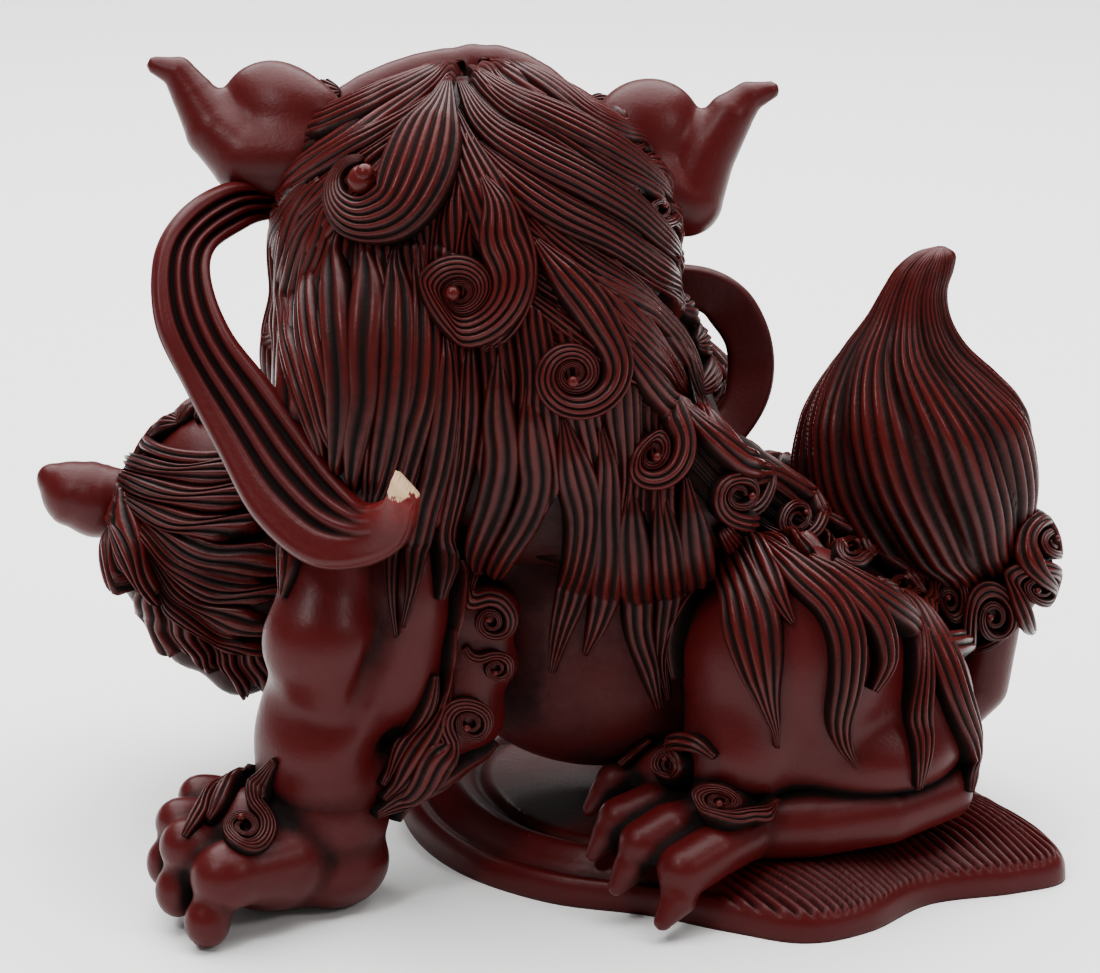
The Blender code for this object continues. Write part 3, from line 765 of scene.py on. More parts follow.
def add_resin(name, mesh, node, wash_and_shade=None, body=WHOLE, **marks):
    """A piece of bare painted resin: the dark wash in its hollows and painted shade where other
    castings hide it, unless wash_and_shade is given.
    """
    if wash_and_shade is None:
        wash_and_shade = crevice(mesh[0], body)
    add_piece(name, mesh, SMOOTH_RESIN, "red_resin", node, wash_and_shade, **marks)


def add_hair(name, parts, node, shade=0.0):
    """A piece of washed hair joined from parts. shade lays that much more wash over all of it."""
    *mesh, wash_and_shade = gather(parts)
    add_piece(name, mesh, HAIR_RESIN, "washed_resin", node, shade + (1 - shade) * wash_and_shade)


# Each casting: its node, its lumps, the grid step, how softly they melt, and its foot's height
CASTINGS = [
    ("torso", TORSO, 1.6, 8, 8.0),
    ("haunch_left", HAUNCH, 1.5, 7, 8.0),
    ("haunch_right", mirrored(HAUNCH), 1.5, 7, 8.0),
    ("hind_foot_left", HIND_FOOT, 1.0, 3, None),
    ("hind_foot_right", mirrored(HIND_FOOT), 1.0, 3, None),
    ("front_leg_left", FRONT_LEG, 1.4, 6, 24.0),
    ("front_paw_left", FRONT_PAW, 1.0, 3.5, 0.0),
    ("front_leg_right", FRONT_LEG_FAR, 1.4, 7, None),
    ("front_paw_right", FRONT_PAW_FAR, 1.0, 3.5, None),
    ("head", HEAD, 1.3, 6, None),
    ("lower_jaw", LOWER_JAW, 1.2, 5, None),
    ("tail_stalk", TAIL_STALK, 1.4, 4, 6.0),
    ("ear_left", EAR_LEFT, 1.0, 4, None),
    ("ear_right", EAR_RIGHT, 1.0, 4, None),
]
TORSO_PAINTED_SHADE = (0.4, 0.58)     # the painted shade added over the torso, whose belly lies in the shade of the legs and hair, and the most that wash and shade come to there
for node, lumps, step, width, floor in CASTINGS:
    mesh = skin(lumps, step, width, floor)
    painted_shade, most = TORSO_PAINTED_SHADE if node == "torso" else (0.0, 1.0)
    # Each skin gets the wash in its hollows and painted shade where other castings hide it
    add_resin(node + "_skin", mesh, node, np.clip(crevice(mesh[0], WHOLE) + painted_shade, 0, most))
add_resin("cub_body_skin", skin(CUB_BODY, 1.1, 4, 0.0), "cub_body", body=CUB)
add_resin("cub_head_skin", skin(CUB_SKULL, 1.1, 4), "cub_head", body=CUB)

# The plain resin that hair lies on, dark where it shows between the locks: the wash pooled deep in the
# hair and painted shade
BEDS = {"mane_crown": CROWN_BED, "mane_spine": SPINE_BED, "mane_left": FLANK_BED,
        "mane_right": mirrored(FLANK_BED), "tail_collar": TAIL_COLLAR, "cub_mane": CUB_MANE}
BED_WASH_AND_SHADE = 0.5
for node, lumps in BEDS.items():
    mesh = skin(lumps, 2.0, 5)
    add_piece(node + "_bed", mesh, HAIR_RESIN, "washed_resin", node, np.full(len(mesh[0]), BED_WASH_AND_SHADE))


# ---------------------------------------------------------------- the lion's hair

def drawn_rows(rows, curl=None):
    """Rows (a, b, width) of one lock: a path through its points, then its curl if it has one."""
    spiral = curl_rows(*curl) if curl else np.zeros((0, 3))
    rows = np.concatenate([np.asarray(rows, float), spiral[:1]])
    length = np.linalg.norm(np.diff(rows[:, :2], axis=0), axis=1).sum()
    fewest, apart = (12, 1.1) if curl else (14, 1.2)
    path = smooth_path(rows, max(fewest, int(length / apart)))
    return np.concatenate([path[:-1], spiral]) if curl else path


def knob(body, spot, radius, lift):
    """The bead in the middle of a curl: half a ball, its equator sunk into the hair."""
    spot = body.press(np.asarray(spot, float)[None])
    slope = body.probe(spot)[1][0]
    angle, rise = np.meshgrid(np.linspace(0, 2 * math.pi, 16, endpoint=False),
                              np.linspace(-1.2, math.pi / 2, 9)[:-1], indexing="ij")
    side = np.cross(slope, UP)
    side /= np.linalg.norm(side)
    over = np.cross(slope, side)
    around = np.cos(rise) * radius
    points = (spot[0] + (np.cos(angle) * around)[..., None] * side
              + (np.sin(angle) * around)[..., None] * over
              + (np.sin(rise) * radius * 0.9 + lift)[..., None] * slope)
    count, rings = angle.shape
    index = np.arange(count * rings).reshape(count, rings)
    turned = np.roll(index, -1, 0)
    quads = np.stack([index[:, :-1], turned[:, :-1], turned[:, 1:], index[:, 1:]], -1)
    quads = quads.reshape(-1, 4)
    foot, top = count * rings, count * rings + 1
    faces = np.concatenate([quads[:, [0, 1, 2]], quads[:, [0, 2, 3]],
                            np.stack([turned[:, 0], index[:, 0], np.full(count, foot)], -1),
                            np.stack([index[:, -1], turned[:, -1], np.full(count, top)], -1)])
    ends = spot + np.array([[lift - radius], [lift + radius * 0.9]]) * slope
    points = np.concatenate([points.reshape(-1, 3), ends])
    return points, facing_out(points, faces), np.zeros(len(points))


def across_plane(body, spots, mirror):
    """The same places on the far side of the upright plane at y = mirror, on the skin there."""
    return spots if mirror is None else body.press(spots * (1, -1, 1) + (0, 2 * mirror, 0))


def drawn_lock(body, strands, lift, rows, curl=None, mirror=None):
    """A lock, and its curl's knob, laid where the sheet's sight lines meet the body.

    mirror is the y of an upright plane, for a lock that lies on the far side of it.
    """
    flat = drawn_rows(rows, curl)
    spots = across_plane(body, body.iron(body.sight(flat[:, :2])), mirror)
    parts = [lock_mesh(body, np.c_[spots, flat[:, 2]], strands, lift)]
    if curl:
        parts.append(knob(body, spots[-1], 0.07 * curl[1] + 0.3, lift + 2.4))
    return parts


def drawn_locks(body, locks, mirror=None):
    """All the parts of a table of locks."""
    return [part for lock in locks for part in drawn_lock(body, *lock, mirror=mirror)]


def drawn_sheet(body, strands, paths, mirror=None):
    """A combed sheet between paths drawn on the sheet, each a row of (a, b) from root to tip."""
    count = max(30, int(max(math.dist(path[0], path[-1]) for path in paths) / 1.3))
    guides = np.stack([body.iron(body.sight(smooth_path(path, count))) for path in paths])
    return combed_sheet(body, across_plane(body, guides, mirror), strands)


# Combed hair under the locks: strands, and the paths that they are combed along, root to tip
CROWN_SHEETS = [
    (10, [[(-36, 226), (-38, 212), (-38, 200), (-37, 186)],
          [(-27, 228), (-29, 212), (-30, 198), (-29, 182)],
          [(-19, 226), (-20, 210), (-21, 196), (-21, 178)]]),
    (18, [[(-23, 247), (-40, 242), (-58, 234), (-70, 227), (-75, 219)],
          [(-24, 245), (-38, 236), (-54, 226), (-68, 216), (-77, 203)],
          [(-26, 241), (-38, 228), (-54, 215), (-67, 203), (-76, 186)],
          [(-28, 238), (-35, 222), (-46, 207), (-58, 196), (-67, 180)]]),
    (46, [[(-20, 248), (-10, 245), (0, 241), (12, 235), (22, 230), (29, 226)],
          [(-21, 246), (-10, 240), (2, 234), (14, 228), (26, 221), (33, 213)],
          [(-23, 243), (-12, 233), (2, 225), (16, 217), (28, 209), (37, 199)],
          [(-25, 239), (-16, 225), (-2, 215), (14, 205), (29, 196), (39, 184)],
          [(-27, 235), (-19, 217), (-5, 204), (12, 193), (28, 183), (41, 170)],
          [(-27, 230), (-21, 209), (-9, 193), (8, 180), (26, 168), (42, 155)],
          [(-29, 225), (-26, 203), (-14, 184), (4, 167), (24, 153), (44, 142)]]),
    (14, [[(-64, 214), (-72, 204), (-77, 190), (-79, 174), (-79, 152)],
          [(-60, 212), (-69, 201), (-74, 186), (-75, 170), (-72, 140)],
          [(-56, 208), (-64, 198), (-68, 184), (-68, 168), (-63, 130)],
          [(-50, 202), (-58, 194), (-61, 180), (-61, 166), (-58, 128)]]),
]
SPINE_SHEETS = [
    (24, [[(14, 196), (27, 184), (37, 168), (45, 148), (58, 131), (76, 117), (92, 104)],
          [(4, 190), (20, 174), (32, 160), (42, 144), (55, 129), (72, 115), (92, 101)],
          [(-2, 180), (12, 166), (26, 152), (38, 138), (52, 124), (69, 111), (91, 97)],
          [(-6, 170), (8, 156), (23, 144), (36, 131), (50, 117), (66, 106), (90, 93)]]),
]
FLANK_SHEETS = [
    (40, [[(-62, 204), (-66, 186), (-66, 168), (-62, 148), (-57, 128)],
          [(-52, 200), (-52, 182), (-52, 164), (-53, 144), (-54, 124)],
          [(-40, 200), (-40, 176), (-41, 154), (-44, 130), (-45, 104)],
          [(-28, 198), (-28, 166), (-30, 142), (-34, 122), (-36, 104)],
          [(-15, 188), (-14, 160), (-14, 136), (-17, 124), (-17, 113)],
          [(-4, 180), (-2, 150), (0, 128), (0, 124), (-1, 116)],
          [(8, 172), (13, 140), (15, 116), (14, 116), (13, 107)],
          [(22, 158), (25, 128), (26, 114), (27, 108), (27, 100)],
          [(34, 146), (38, 120), (39, 110), (38, 106), (38, 99)]]),
]

# Each lock: strands, lift, rows (a, b, width) on the drawing sheet, in millimetres, and its curl
# (centre, radius, start in degrees, way round, turns) where it ends in one
CROWN_LOCKS = [
    (6, 3.0, [(-24, 246, 2), (-33, 241, 7), (-44, 235, 12), (-55, 230, 14), (-63, 226, 12),
              (-69, 223, 7), (-73, 221, 2)]),
    (4, 1.2, [(-30, 238, 2), (-42, 229, 6), (-54, 222, 8), (-64, 216, 7), (-72, 210, 5), (-76, 204, 2)]),
    (6, 3.4, [(-20, 246, 2), (-10, 242, 7), (0, 236, 10), (8, 230, 9), (16, 226, 8), (23, 224, 6),
              (28, 221, 3)]),
    (6, 2.8, [(-22, 243, 2), (-12, 235, 8), (0, 229, 11), (12, 223, 11), (22, 217, 9), (29, 211, 6),
              (33, 206, 2)]),
    (6, 2.2, [(-25, 240, 2), (-18, 228, 8), (-6, 220, 11), (8, 213, 11), (20, 206, 10), (29, 198, 8),
              (36, 191, 3)]),
    (5, 1.6, [(-21, 224, 2), (-10, 212, 9), (2, 204, 10), (14, 198, 10), (26, 190, 9), (34, 184, 7),
              (39, 177, 4), (40, 170, 2)]),
    (5, 1.2, [(-10, 208, 2), (0, 197, 8), (10, 188, 10), (22, 180, 10), (32, 172, 8), (38, 164, 6),
              (42, 156, 2)]),
    (7, 4.6, [(-28, 238, 2), (-30, 231, 9), (-33, 223, 18), (-36, 214, 20), (-41, 205, 16),
              (-50, 202, 12), (-56.5, 206, 8), (-57.5, 212, 5), (-54.5, 217, 3.5), (-50, 218, 2)]),
    (6, 2.2, [(-27, 233, 2), (-24, 222, 8), (-19, 211, 12), (-14, 200, 14), (-11, 190, 14),
              (-11, 180, 12), (-14, 172, 8), (-19, 167, 3)]),
    (5, 5.4, [(-19, 213, 2), (-15, 205, 8)], ((-24.4, 183), 23, 55, -1, 2.7)),
    (3, 2.4, [(12, 235, 2), (18, 232, 5)], ((20.5, 224.5), 7, 100, -1, 1.8)),
    (3, 2.4, [(24, 217, 2), (30, 214, 5)], ((28.5, 205), 7, 60, -1, 1.8)),
    (3, 2.0, [(30, 203, 2), (35, 200, 4)], ((32.5, 192), 6, 60, -1, 1.8)),
]
# The crown's two beads: a, b and radius
BEADS = [(-50, 212.5, 4.2), (-48.5, 213.5, 2.6)]
SPINE_LOCKS = [
    (5, 1.0, [(2, 193, 2), (12, 183, 7), (21, 172, 9), (29, 162, 9), (36, 153, 8), (43, 145, 5),
              (49, 138, 2)]),
    (4, 1.0, [(18, 172, 2), (25, 160, 7), (33, 150, 8), (41, 143, 7), (49, 136, 5), (57, 129, 2)]),
    (4, 1.5, [(34, 152, 2), (42, 144, 6), (50, 137, 6), (58, 130, 5), (66, 124, 4), (74, 117, 2)]),
    (4, 4.0, [(-5, 197, 2), (2, 187, 8), (9, 178, 10)], ((5.3, 160.5), 17, 40, -1, 2.4)),
    (3, 3.4, [(16, 171, 2), (22, 161, 6), (28, 152, 8), (32, 147, 9)], ((27.5, 137.5), 13, 25, -1, 2.2)),
    (3, 3.4, [(34, 149, 2), (41, 142, 5), (48, 136, 7), (54, 131, 7)], ((50, 126.5), 11.5, 30, -1, 2.1)),
    (3, 3.0, [(50, 138, 2), (57, 132, 4), (64, 127, 5), (71, 122, 6)], ((67, 118), 10, 30, -1, 2.0)),
    (3, 2.5, [(68, 124, 2), (75, 118, 4), (82, 114, 5)], ((83, 109), 8, 35, -1, 1.9)),
    (3, 2.5, [(84, 112, 2), (90, 108, 3), (96, 104, 4)], ((97, 99), 6.5, 35, -1, 1.8)),
]
TEMPLE_LOCKS = [
    (4, 1.5, [(-66, 213, 3), (-72, 204, 6), (-76, 192, 7), (-77.5, 180, 7), (-78, 168, 6),
              (-77, 158, 2)]),
    (3, 1.0, [(-72, 120, 3), (-71, 112, 6), (-72, 104, 5), (-74, 97, 2)]),
    (3, 1.0, [(-62, 213, 4), (-69, 203, 8), (-72, 188, 9), (-71, 172, 9), (-68, 158, 8), (-64, 146, 6),
              (-62, 134, 2)]),
    (3, 1.5, [(-58, 209, 4), (-62, 198, 8), (-65, 184, 9), (-65, 170, 9), (-62, 156, 8), (-60, 146, 6),
              (-57, 134, 2)]),
]
FLANK_LOCKS = [
    (2, 2.0, [(-57, 200, 2), (-58, 186, 8), (-58, 174, 9), (-57, 160, 9), (-57, 148, 8), (-58, 134, 3)]),
    (2, 2.4, [(-49, 196, 2), (-50, 180, 9), (-51, 166, 9), (-51, 154, 8), (-53, 142, 7), (-54, 128, 2)]),
    (3, 2.0, [(-42, 196, 2), (-43, 178, 9), (-43, 166, 9), (-44, 152, 9), (-46, 138, 8), (-49, 124, 3)]),
    (3, 1.6, [(-36, 196, 2), (-36, 178, 8), (-36, 166, 9), (-37, 154, 9), (-40, 142, 9), (-43, 128, 7),
              (-44, 112, 5), (-44, 98, 3), (-43, 87, 1.5)]),
    (3, 2.0, [(-30, 173, 2), (-30, 158, 9), (-31, 148, 9), (-33, 136, 9), (-36, 124, 8), (-38, 112, 6),
              (-39, 100, 3), (-41, 90, 1.5)]),
    (3, 1.6, [(-22, 171, 2), (-23, 154, 9), (-24, 144, 10), (-26, 132, 10), (-29, 120, 9), (-31, 108, 7),
              (-32, 97, 2)]),
    (3, 2.2, [(-14, 166, 2), (-14, 150, 9), (-13, 138, 10), (-15, 126, 10), (-19, 115, 8), (-22, 105, 5),
              (-23, 97, 2)]),
    (3, 1.8, [(-6, 157, 2), (-5, 142, 9), (-4, 131, 9), (-7, 121, 9), (-13, 111, 7), (-17, 102, 3)]),
    (4, 2.2, [(3, 149, 2), (6, 134, 10), (9, 122, 11), (9, 110, 11), (6, 98, 9), (3, 88, 6), (1, 77, 2)]),
    (3, 1.8, [(13, 146, 2), (15, 128, 9), (17, 114, 9), (16, 102, 9), (13, 91, 6), (10, 82, 2)]),
    (3, 2.2, [(22, 131, 2), (23, 115, 9), (24, 102, 9), (24, 90, 8), (27, 78, 6), (30, 67, 2)]),
    (4, 1.8, [(30, 130, 2), (32, 114, 9), (33, 102, 10), (32, 90, 9), (31, 80, 6), (33, 69, 2)]),
    (3, 2.2, [(37, 131, 2), (39, 116, 9), (40, 106, 9), (38, 95, 8), (36, 85, 5), (37, 75, 2)]),
]
HIP_LOCKS = [
    (5, 2.0, [(47, 118, 4), (51, 108, 9), (55, 98, 13), (57, 90, 16), (59, 80, 13), (61, 70, 7),
              (63, 61, 3), (63, 56, 1.5)]),
    (3, 1.2, [(56, 114, 4), (61, 104, 8), (65, 95, 5), (68, 90, 2)]),
    (4, 2.2, [(61, 110, 4), (70, 102, 9), (78, 95, 10), (82, 86, 10), (82, 75, 9), (80, 64, 7),
              (82, 56, 4), (86, 50, 1.5)]),
    (3, 1.8, [(72, 106, 4), (83, 98, 8), (90, 90, 8), (92, 80, 6), (89, 72, 3)]),
    (4, 2.2, [(78, 105, 4), (92, 95, 8), (100, 87, 9), (102, 76, 9), (102, 66, 8), (103, 56, 6),
              (102, 45, 2)]),
    (4, 1.8, [(90, 100, 4), (101, 92, 8), (108, 81, 10), (112, 70, 9), (115, 60, 8), (116, 52, 6),
              (116, 43, 2)]),
]

# Each zone: the casting it covers, its sheets and locks, the casting on the other side, if any,
# and the wash added because it lies in the shade of the hair above
ZONES = [
    ("mane_crown", CROWN_SHEETS, CROWN_LOCKS + TEMPLE_LOCKS, None, 0.0),
    ("mane_spine", SPINE_SHEETS, SPINE_LOCKS, "mane_spine", 0.0),
    ("mane_left", FLANK_SHEETS, FLANK_LOCKS, "mane_right", 0.16),
    ("hip_mane_left", [], HIP_LOCKS, "hip_mane_right", 0.0),
]
for near_node, sheets, locks, far_node, shade in ZONES:
    for node, mirror in ((near_node, None), (far_node, 0.0)):
        if not node:
            continue
        parts = [drawn_sheet(WHOLE, *sheet, mirror=mirror) for sheet in sheets]
        parts += drawn_locks(WHOLE, locks, mirror)
        if node == "mane_crown":
            spots = WHOLE.sight([bead[:2] for bead in BEADS])
            parts += [knob(WHOLE, spot, bead[2], 4.5 + 2 * k)
                      for k, (spot, bead) in enumerate(zip(spots, BEADS))]
        ending = "_far_locks" if far_node == near_node and mirror is not None else "_locks"
        add_hair(node + ending, parts, node, shade)


# ---------------------------------------------------------------- streamers

def strap(edges, thick, grooves, rows=170, fine=48):
    """A streamer between its two edge paths: a closed ring carried along them.

    The ring's top is domed with rolled lips and a few grooves, each a bell-shaped dip whose place
    drifts across as it runs along; its back is plain. Both ends close to their middles.
    """
    edge_a = smooth_path([pair[0] + (0.0,) for pair in edges], rows)[:, :3]
    edge_b = smooth_path([pair[1] + (0.0,) for pair in edges], rows)[:, :3]
    middle = (edge_a + edge_b) / 2
    along = np.gradient(middle, axis=0)
    across = edge_b - edge_a
    facing = np.cross(along, across)
    facing /= np.linalg.norm(facing, axis=1, keepdims=True)
    share = np.linspace(0, 1, fine)
    run = np.linspace(0, 1, rows)[:, None]
    fade = np.clip((0.9 - run) / 0.12, 0, 1)
    dips = fade * sum(np.exp(-((share - at - drift * run ** 1.5) / 0.05) ** 2)
                      for at, drift in grooves)
    lip = np.exp(-((share - 0.06) / 0.07) ** 2) + np.exp(-((share - 0.94) / 0.07) ** 2)
    round_off = np.clip(1 - (2 * share - 1) ** 10, 0, 1) ** 0.5
    ends = np.clip(np.minimum(run, 1 - run) / 0.012, 0, 1) ** 0.5
    dome = 1.6 * (1 - (2 * share - 1) ** 2)
    top = (thick / 2 + 0.5 * lip + dome - 2.3 * dips) * round_off * ends
    back = -thick / 2 * round_off[::-1] * ends
    spots = np.concatenate([edge_a[:, None] + share[:, None] * across[:, None],
                            edge_a[:, None] + share[::-1, None] * across[:, None]], 1)
    points = spots + facing[:, None] * np.concatenate([top, back], 1)[..., None]
    wash_and_shade = np.concatenate([np.clip(dips * 1.1, 0, 1) + 0.05, np.full((rows, fine), 0.3)], 1)
    return swept(points, wash_and_shade)


# The streamers' two edges, (x, y, z) each, from the root beside the cheek to the tip
STREAMER_LEFT = [
    ((-64, 14, 186), (-64, 14, 178)), ((-78, 2, 190), (-78, 2, 179)), ((-89, -8, 191), (-84, -8, 178)),
    ((-99, -18, 186), (-90, -18, 175)), ((-105, -28, 176), (-90, -27, 169)),
    ((-104, -38, 160), (-84, -37, 158)), ((-96, -44, 144), (-74, -44, 147)),
    ((-87, -52, 129), (-64, -52, 136)), ((-77, -62, 114), (-56, -60, 127)),
    ((-63, -71, 105), (-50, -66, 122)), ((-49, -77, 106), (-46, -72, 122)),
    ((-37, -81, 114), (-41, -78, 126)), ((-33, -83, 128), (-39, -82, 134)),
]
STREAMER_RIGHT = [
    ((32, 30, 160), (32, 30, 148)), ((46, 30, 158), (42, 30, 146)), ((56, 30, 152), (46, 30, 142)),
    ((62, 28, 142), (50, 28, 136)), ((64, 26, 131), (50.5, 26, 128)), ((62, 22, 121), (49, 22, 121)),
    ((56, 18, 112), (45, 18, 117)), ((47, 12, 105), (37, 12, 115)),
]
STREAMER_THICK = 5.5
*mesh, wash_and_shade = strap(STREAMER_LEFT, STREAMER_THICK, [(0.27, 0.22), (0.48, 0.2), (0.72, 0.12)])
height, near_tip = mesh[0][:, 2], mesh[0][:, 1] < -76
broken = np.clip((height - 124) / 7, 0, 1) * near_tip
add_resin("ribbon_left_streamer", mesh, "ribbon_left", wash_and_shade * (1 - broken),
          wear=np.clip((height - 117) / 9, 0, 1) * near_tip, chip=broken)
*mesh, wash_and_shade = strap(STREAMER_RIGHT, STREAMER_THICK, [(0.35, 0.05), (0.68, 0.04)])
add_resin("ribbon_right_streamer", mesh, "ribbon_right", wash_and_shade)


# ---------------------------------------------------------------- the tail

# The tuft's upright stations: height, middle and half width across, half depth
TUFT_STATIONS = [(64, 113, 3, 3), (67, 113, 17, 14), (76, 109, 26, 21), (83, 105.5, 31, 25),
                 (99, 104, 34.5, 28), (115, 104, 32.4, 27), (123, 103.5, 29, 25), (131, 102, 23, 21),
                 (139, 100.5, 16.5, 16), (147, 101, 11.5, 11), (155, 102.4, 8.8, 8),
                 (161, 104.8, 7.8, 6.5), (165.5, 107.5, 5.5, 4.5), (167.5, 109, 1.5, 1.2)]


def tuft_mesh(strands=48, locks=9, rows=130):
    """The tail's flame: rings round an S-shaped middle line, swollen low and drawn to a leaning tip.

    A ring's radius has the absolute value of two sines added, one for strands and one for the
    broader locks; both turn with height, so that the strands sweep round and up to the tip.
    """
    height, middle, wide, deep = smooth_path([(*s, 0.0) for s in TUFT_STATIONS], rows).T[:4]
    turn = np.linspace(0, 2 * math.pi, strands * 7, endpoint=False)[None]
    rise = np.linspace(0, 1, rows)[:, None]
    sweep = turn + 1.4 * rise ** 1.4 + 0.1 * np.sin(2.2 * math.pi * rise + turn)
    strand = np.abs(np.sin(strands / 2 * (sweep + 0.025 * np.sin(5 * rise + 3 * turn)))) ** 0.8
    lock = np.abs(np.sin(locks / 2 * (sweep + 0.5 * rise))) ** 0.5
    girth = np.minimum(1, wide / 22)[:, None]
    grow = (1.35 * strand + 2.6 * lock - 2.6) * girth
    points = np.stack([middle[:, None] + (wide[:, None] + grow) * np.cos(turn),
                       TAIL_Y + 2 + (deep[:, None] + grow) * np.sin(turn),
                       height[:, None] + 0 * turn], -1)
    wash_and_shade = np.clip(1.02 - strand * (0.55 + 0.45 * lock), 0, 1) * np.clip(girth * 1.6, 0.3, 1)
    return swept(points, wash_and_shade)


add_hair("tail_tuft_flame", [tuft_mesh()], "tail_tuft")
COLLAR_CURLS = [
    (3, 1.0, [(99, 92, 2), (103, 86, 6), (110, 83, 7), (118, 84, 6), (126, 88, 3)]),
    (3, 2.0, [(106, 88, 2), (104, 93, 5)], ((111, 96), 9, 150, -1, 2.0)),
    (3, 2.6, [(119, 84, 2), (116, 89, 6)], ((123.5, 93), 9.5, 160, -1, 2.0)),
    (3, 3.2, [(133, 89, 2), (129, 96, 6)], ((135, 101), 9, 170, -1, 2.0)),
    (3, 3.8, [(138, 100, 2), (133, 107, 5)], ((138, 112), 8, 180, -1, 2.0)),
    (3, 2.0, [(104, 96, 2), (99, 100, 5)], ((103, 105), 7, 190, -1, 1.9)),
]


# ---------------------------------------------------------------- the base

SLAB_EDGE = [(-44, 18), (-38, -12), (-23, -36), (0, -53), (27, -61), (48, -71), (68, -78),
             (86, -71), (104, -54), (128, -47), (143, -39), (141, -22), (126, 8), (124, 40),
             (104, 62), (70, 74), (30, 68), (-8, 56), (-36, 42)]
SLAB_MIDDLE = np.array([52.0, -6.0])


def closed_path(points, count):
    """A closed Catmull-Rom spline through points, sampled count times."""
    points = np.asarray(points, float)
    at = np.linspace(0, len(points), count, endpoint=False)
    span = at.astype(int)
    t = (at - span)[:, None]
    return spline(*(points[(span + k) % len(points)] for k in (-1, 0, 1, 2)), t)


def slab_mesh(around=640, inner=90, outer=40):
    """The base: its edge path drawn in to the middle, with a height for each share of the way out.

    The top is level to three quarters, dips into a crease and rises to a rim, then rounds over to
    the foot. Beside the hind foot it carries barbs like a feather's: the absolute value of a sine
    across a slant. The underside is flat.
    """
    edge = closed_path(SLAB_EDGE, around)
    share = np.concatenate([np.linspace(0.02, 0.9, inner), np.linspace(0.905, 1, outer)])
    flat = SLAB_MIDDLE + share[:, None, None] * (edge - SLAB_MIDDLE)
    x, y = flat[..., 0], flat[..., 1]
    out = share[:, None] + 0 * x
    feathered = np.clip((x - 30 + 0.2 * y) / 8, 0, 1) * np.clip((0.985 - out) / 0.03, 0, 1)
    feathered = feathered * np.clip((-8 - y + 0.25 * (x - 60)) / 10, 0, 1)
    plain = 1 - np.clip((x - 40) / 12, 0, 1)
    lie = 13 - 5.5 * np.clip((out - 0.72) / 0.26, 0, 1) ** 1.3
    crease = np.exp(-((out - 0.76) / 0.022) ** 2) + 0.6 * np.exp(-((out - 0.93) / 0.02) ** 2)
    rim = np.exp(-((out - 0.83) / 0.045) ** 2)
    slant = (x + 0.8 * y + 2.0 * np.sin(y / 9) + 1.1 * np.sin(x / 7)) / 3.5
    barb = np.abs(np.sin(math.pi * slant)) ** 0.7
    lie = lie + plain * (2.2 * rim - 2.2 * crease) + feathered * (2.2 * barb - 1.3)
    lie = lie + 0.35 * np.sin(x / 11) * np.sin(y / 8)
    over = np.sqrt(np.clip(1 - ((out - 0.965) / 0.035).clip(0, 1) ** 2, 0, 1))
    height = lie * (0.18 + 0.82 * over)
    wash_and_shade = np.clip(plain * crease * 0.6 + feathered * (1 - barb) * 1.1, 0, 1)
    top = np.concatenate([flat, height[..., None]], -1)
    foot = np.concatenate([SLAB_MIDDLE + np.array([1.0, 0.5, 0.02])[:, None, None]
                           * (edge - SLAB_MIDDLE), np.zeros((3, around, 1))], -1)
    grid = np.concatenate([top, foot])[::-1]
    return swept(grid, np.concatenate([wash_and_shade, np.full((3, around), 0.4)])[::-1])


SPECKLED = (-6, -42, 16)     # the patch of the rim that has lost specks of paint: x, y and radius
*mesh, wash_and_shade = slab_mesh()
points = mesh[0]
# Painted shade on the base where the body and feet hide it, added to the wash in its creases
wash_and_shade = np.clip(wash_and_shade + 0.05 * crevice(points, WHOLE), 0, 1)
specks = 0.2 * (np.hypot(points[:, 0] - SPECKLED[0], points[:, 1] - SPECKLED[1]) < SPECKLED[2])
add_resin("base_plate_slab", mesh, "base_plate", wash_and_shade, chip=specks)


# ---------------------------------------------------------------- curls on the legs and feet

LEG_CURLS = [
    (3, 2.0, [(-24, 102, 2), (-24, 97, 5)], ((-17, 91), 8.5, 130, -1, 2.0)),
    (3, 2.0, [(-24, 84, 2), (-22, 81, 3)], ((-16, 78), 6, 140, -1, 1.8)),
    (4, 2.2, [(-50, 37, 2), (-43, 42, 6), (-36, 48, 8), (-31, 55, 8)], ((-23, 63), 10, 230, -1, 2.1)),
    (3, 1.0, [(-33, 76, 2), (-35, 67, 5), (-40, 57, 5), (-48, 45, 2)]),
    (3, 1.4, [(-28, 72, 2), (-31, 63, 5), (-38, 52, 6), (-48, 41, 2)]),
    (3, 1.4, [(-16, 58, 2), (-21, 51, 5), (-30, 43, 6), (-43, 35, 2)]),
    (2, 1.2, [(-26, 112, 2), (-27, 104, 4), (-27, 94, 4), (-28, 84, 2)]),
    (2, 1.2, [(-28, 90, 2), (-29, 82, 4), (-29, 73, 4), (-31, 66, 2)]),
]
PAW_CURLS = [
    (5, 1.6, [(-76, 52, 2), (-79, 47, 5), (-81, 43, 7)], ((-85.5, 32), 11, 70, -1, 1.9)),
    (3, 1.0, [(-84, 50, 2), (-88, 44, 5), (-92, 38, 5), (-96, 34, 2)]),
    (3, 1.0, [(-90, 46, 2), (-95, 40, 5), (-99, 34, 4), (-102, 30, 2)]),
]
FOOT_CURLS = [
    (4, 3.2, [(62, 42, 2), (58, 36, 6)], ((48, 40), 10.5, 330, -1, 2.2)),
    (3, 2.4, [(47, 53, 2), (42, 57, 5)], ((34, 50), 9, 70, -1, 2.0)),
    (3, 1.0, [(28, 58, 2), (24, 54, 4), (20, 50, 2)]),
]
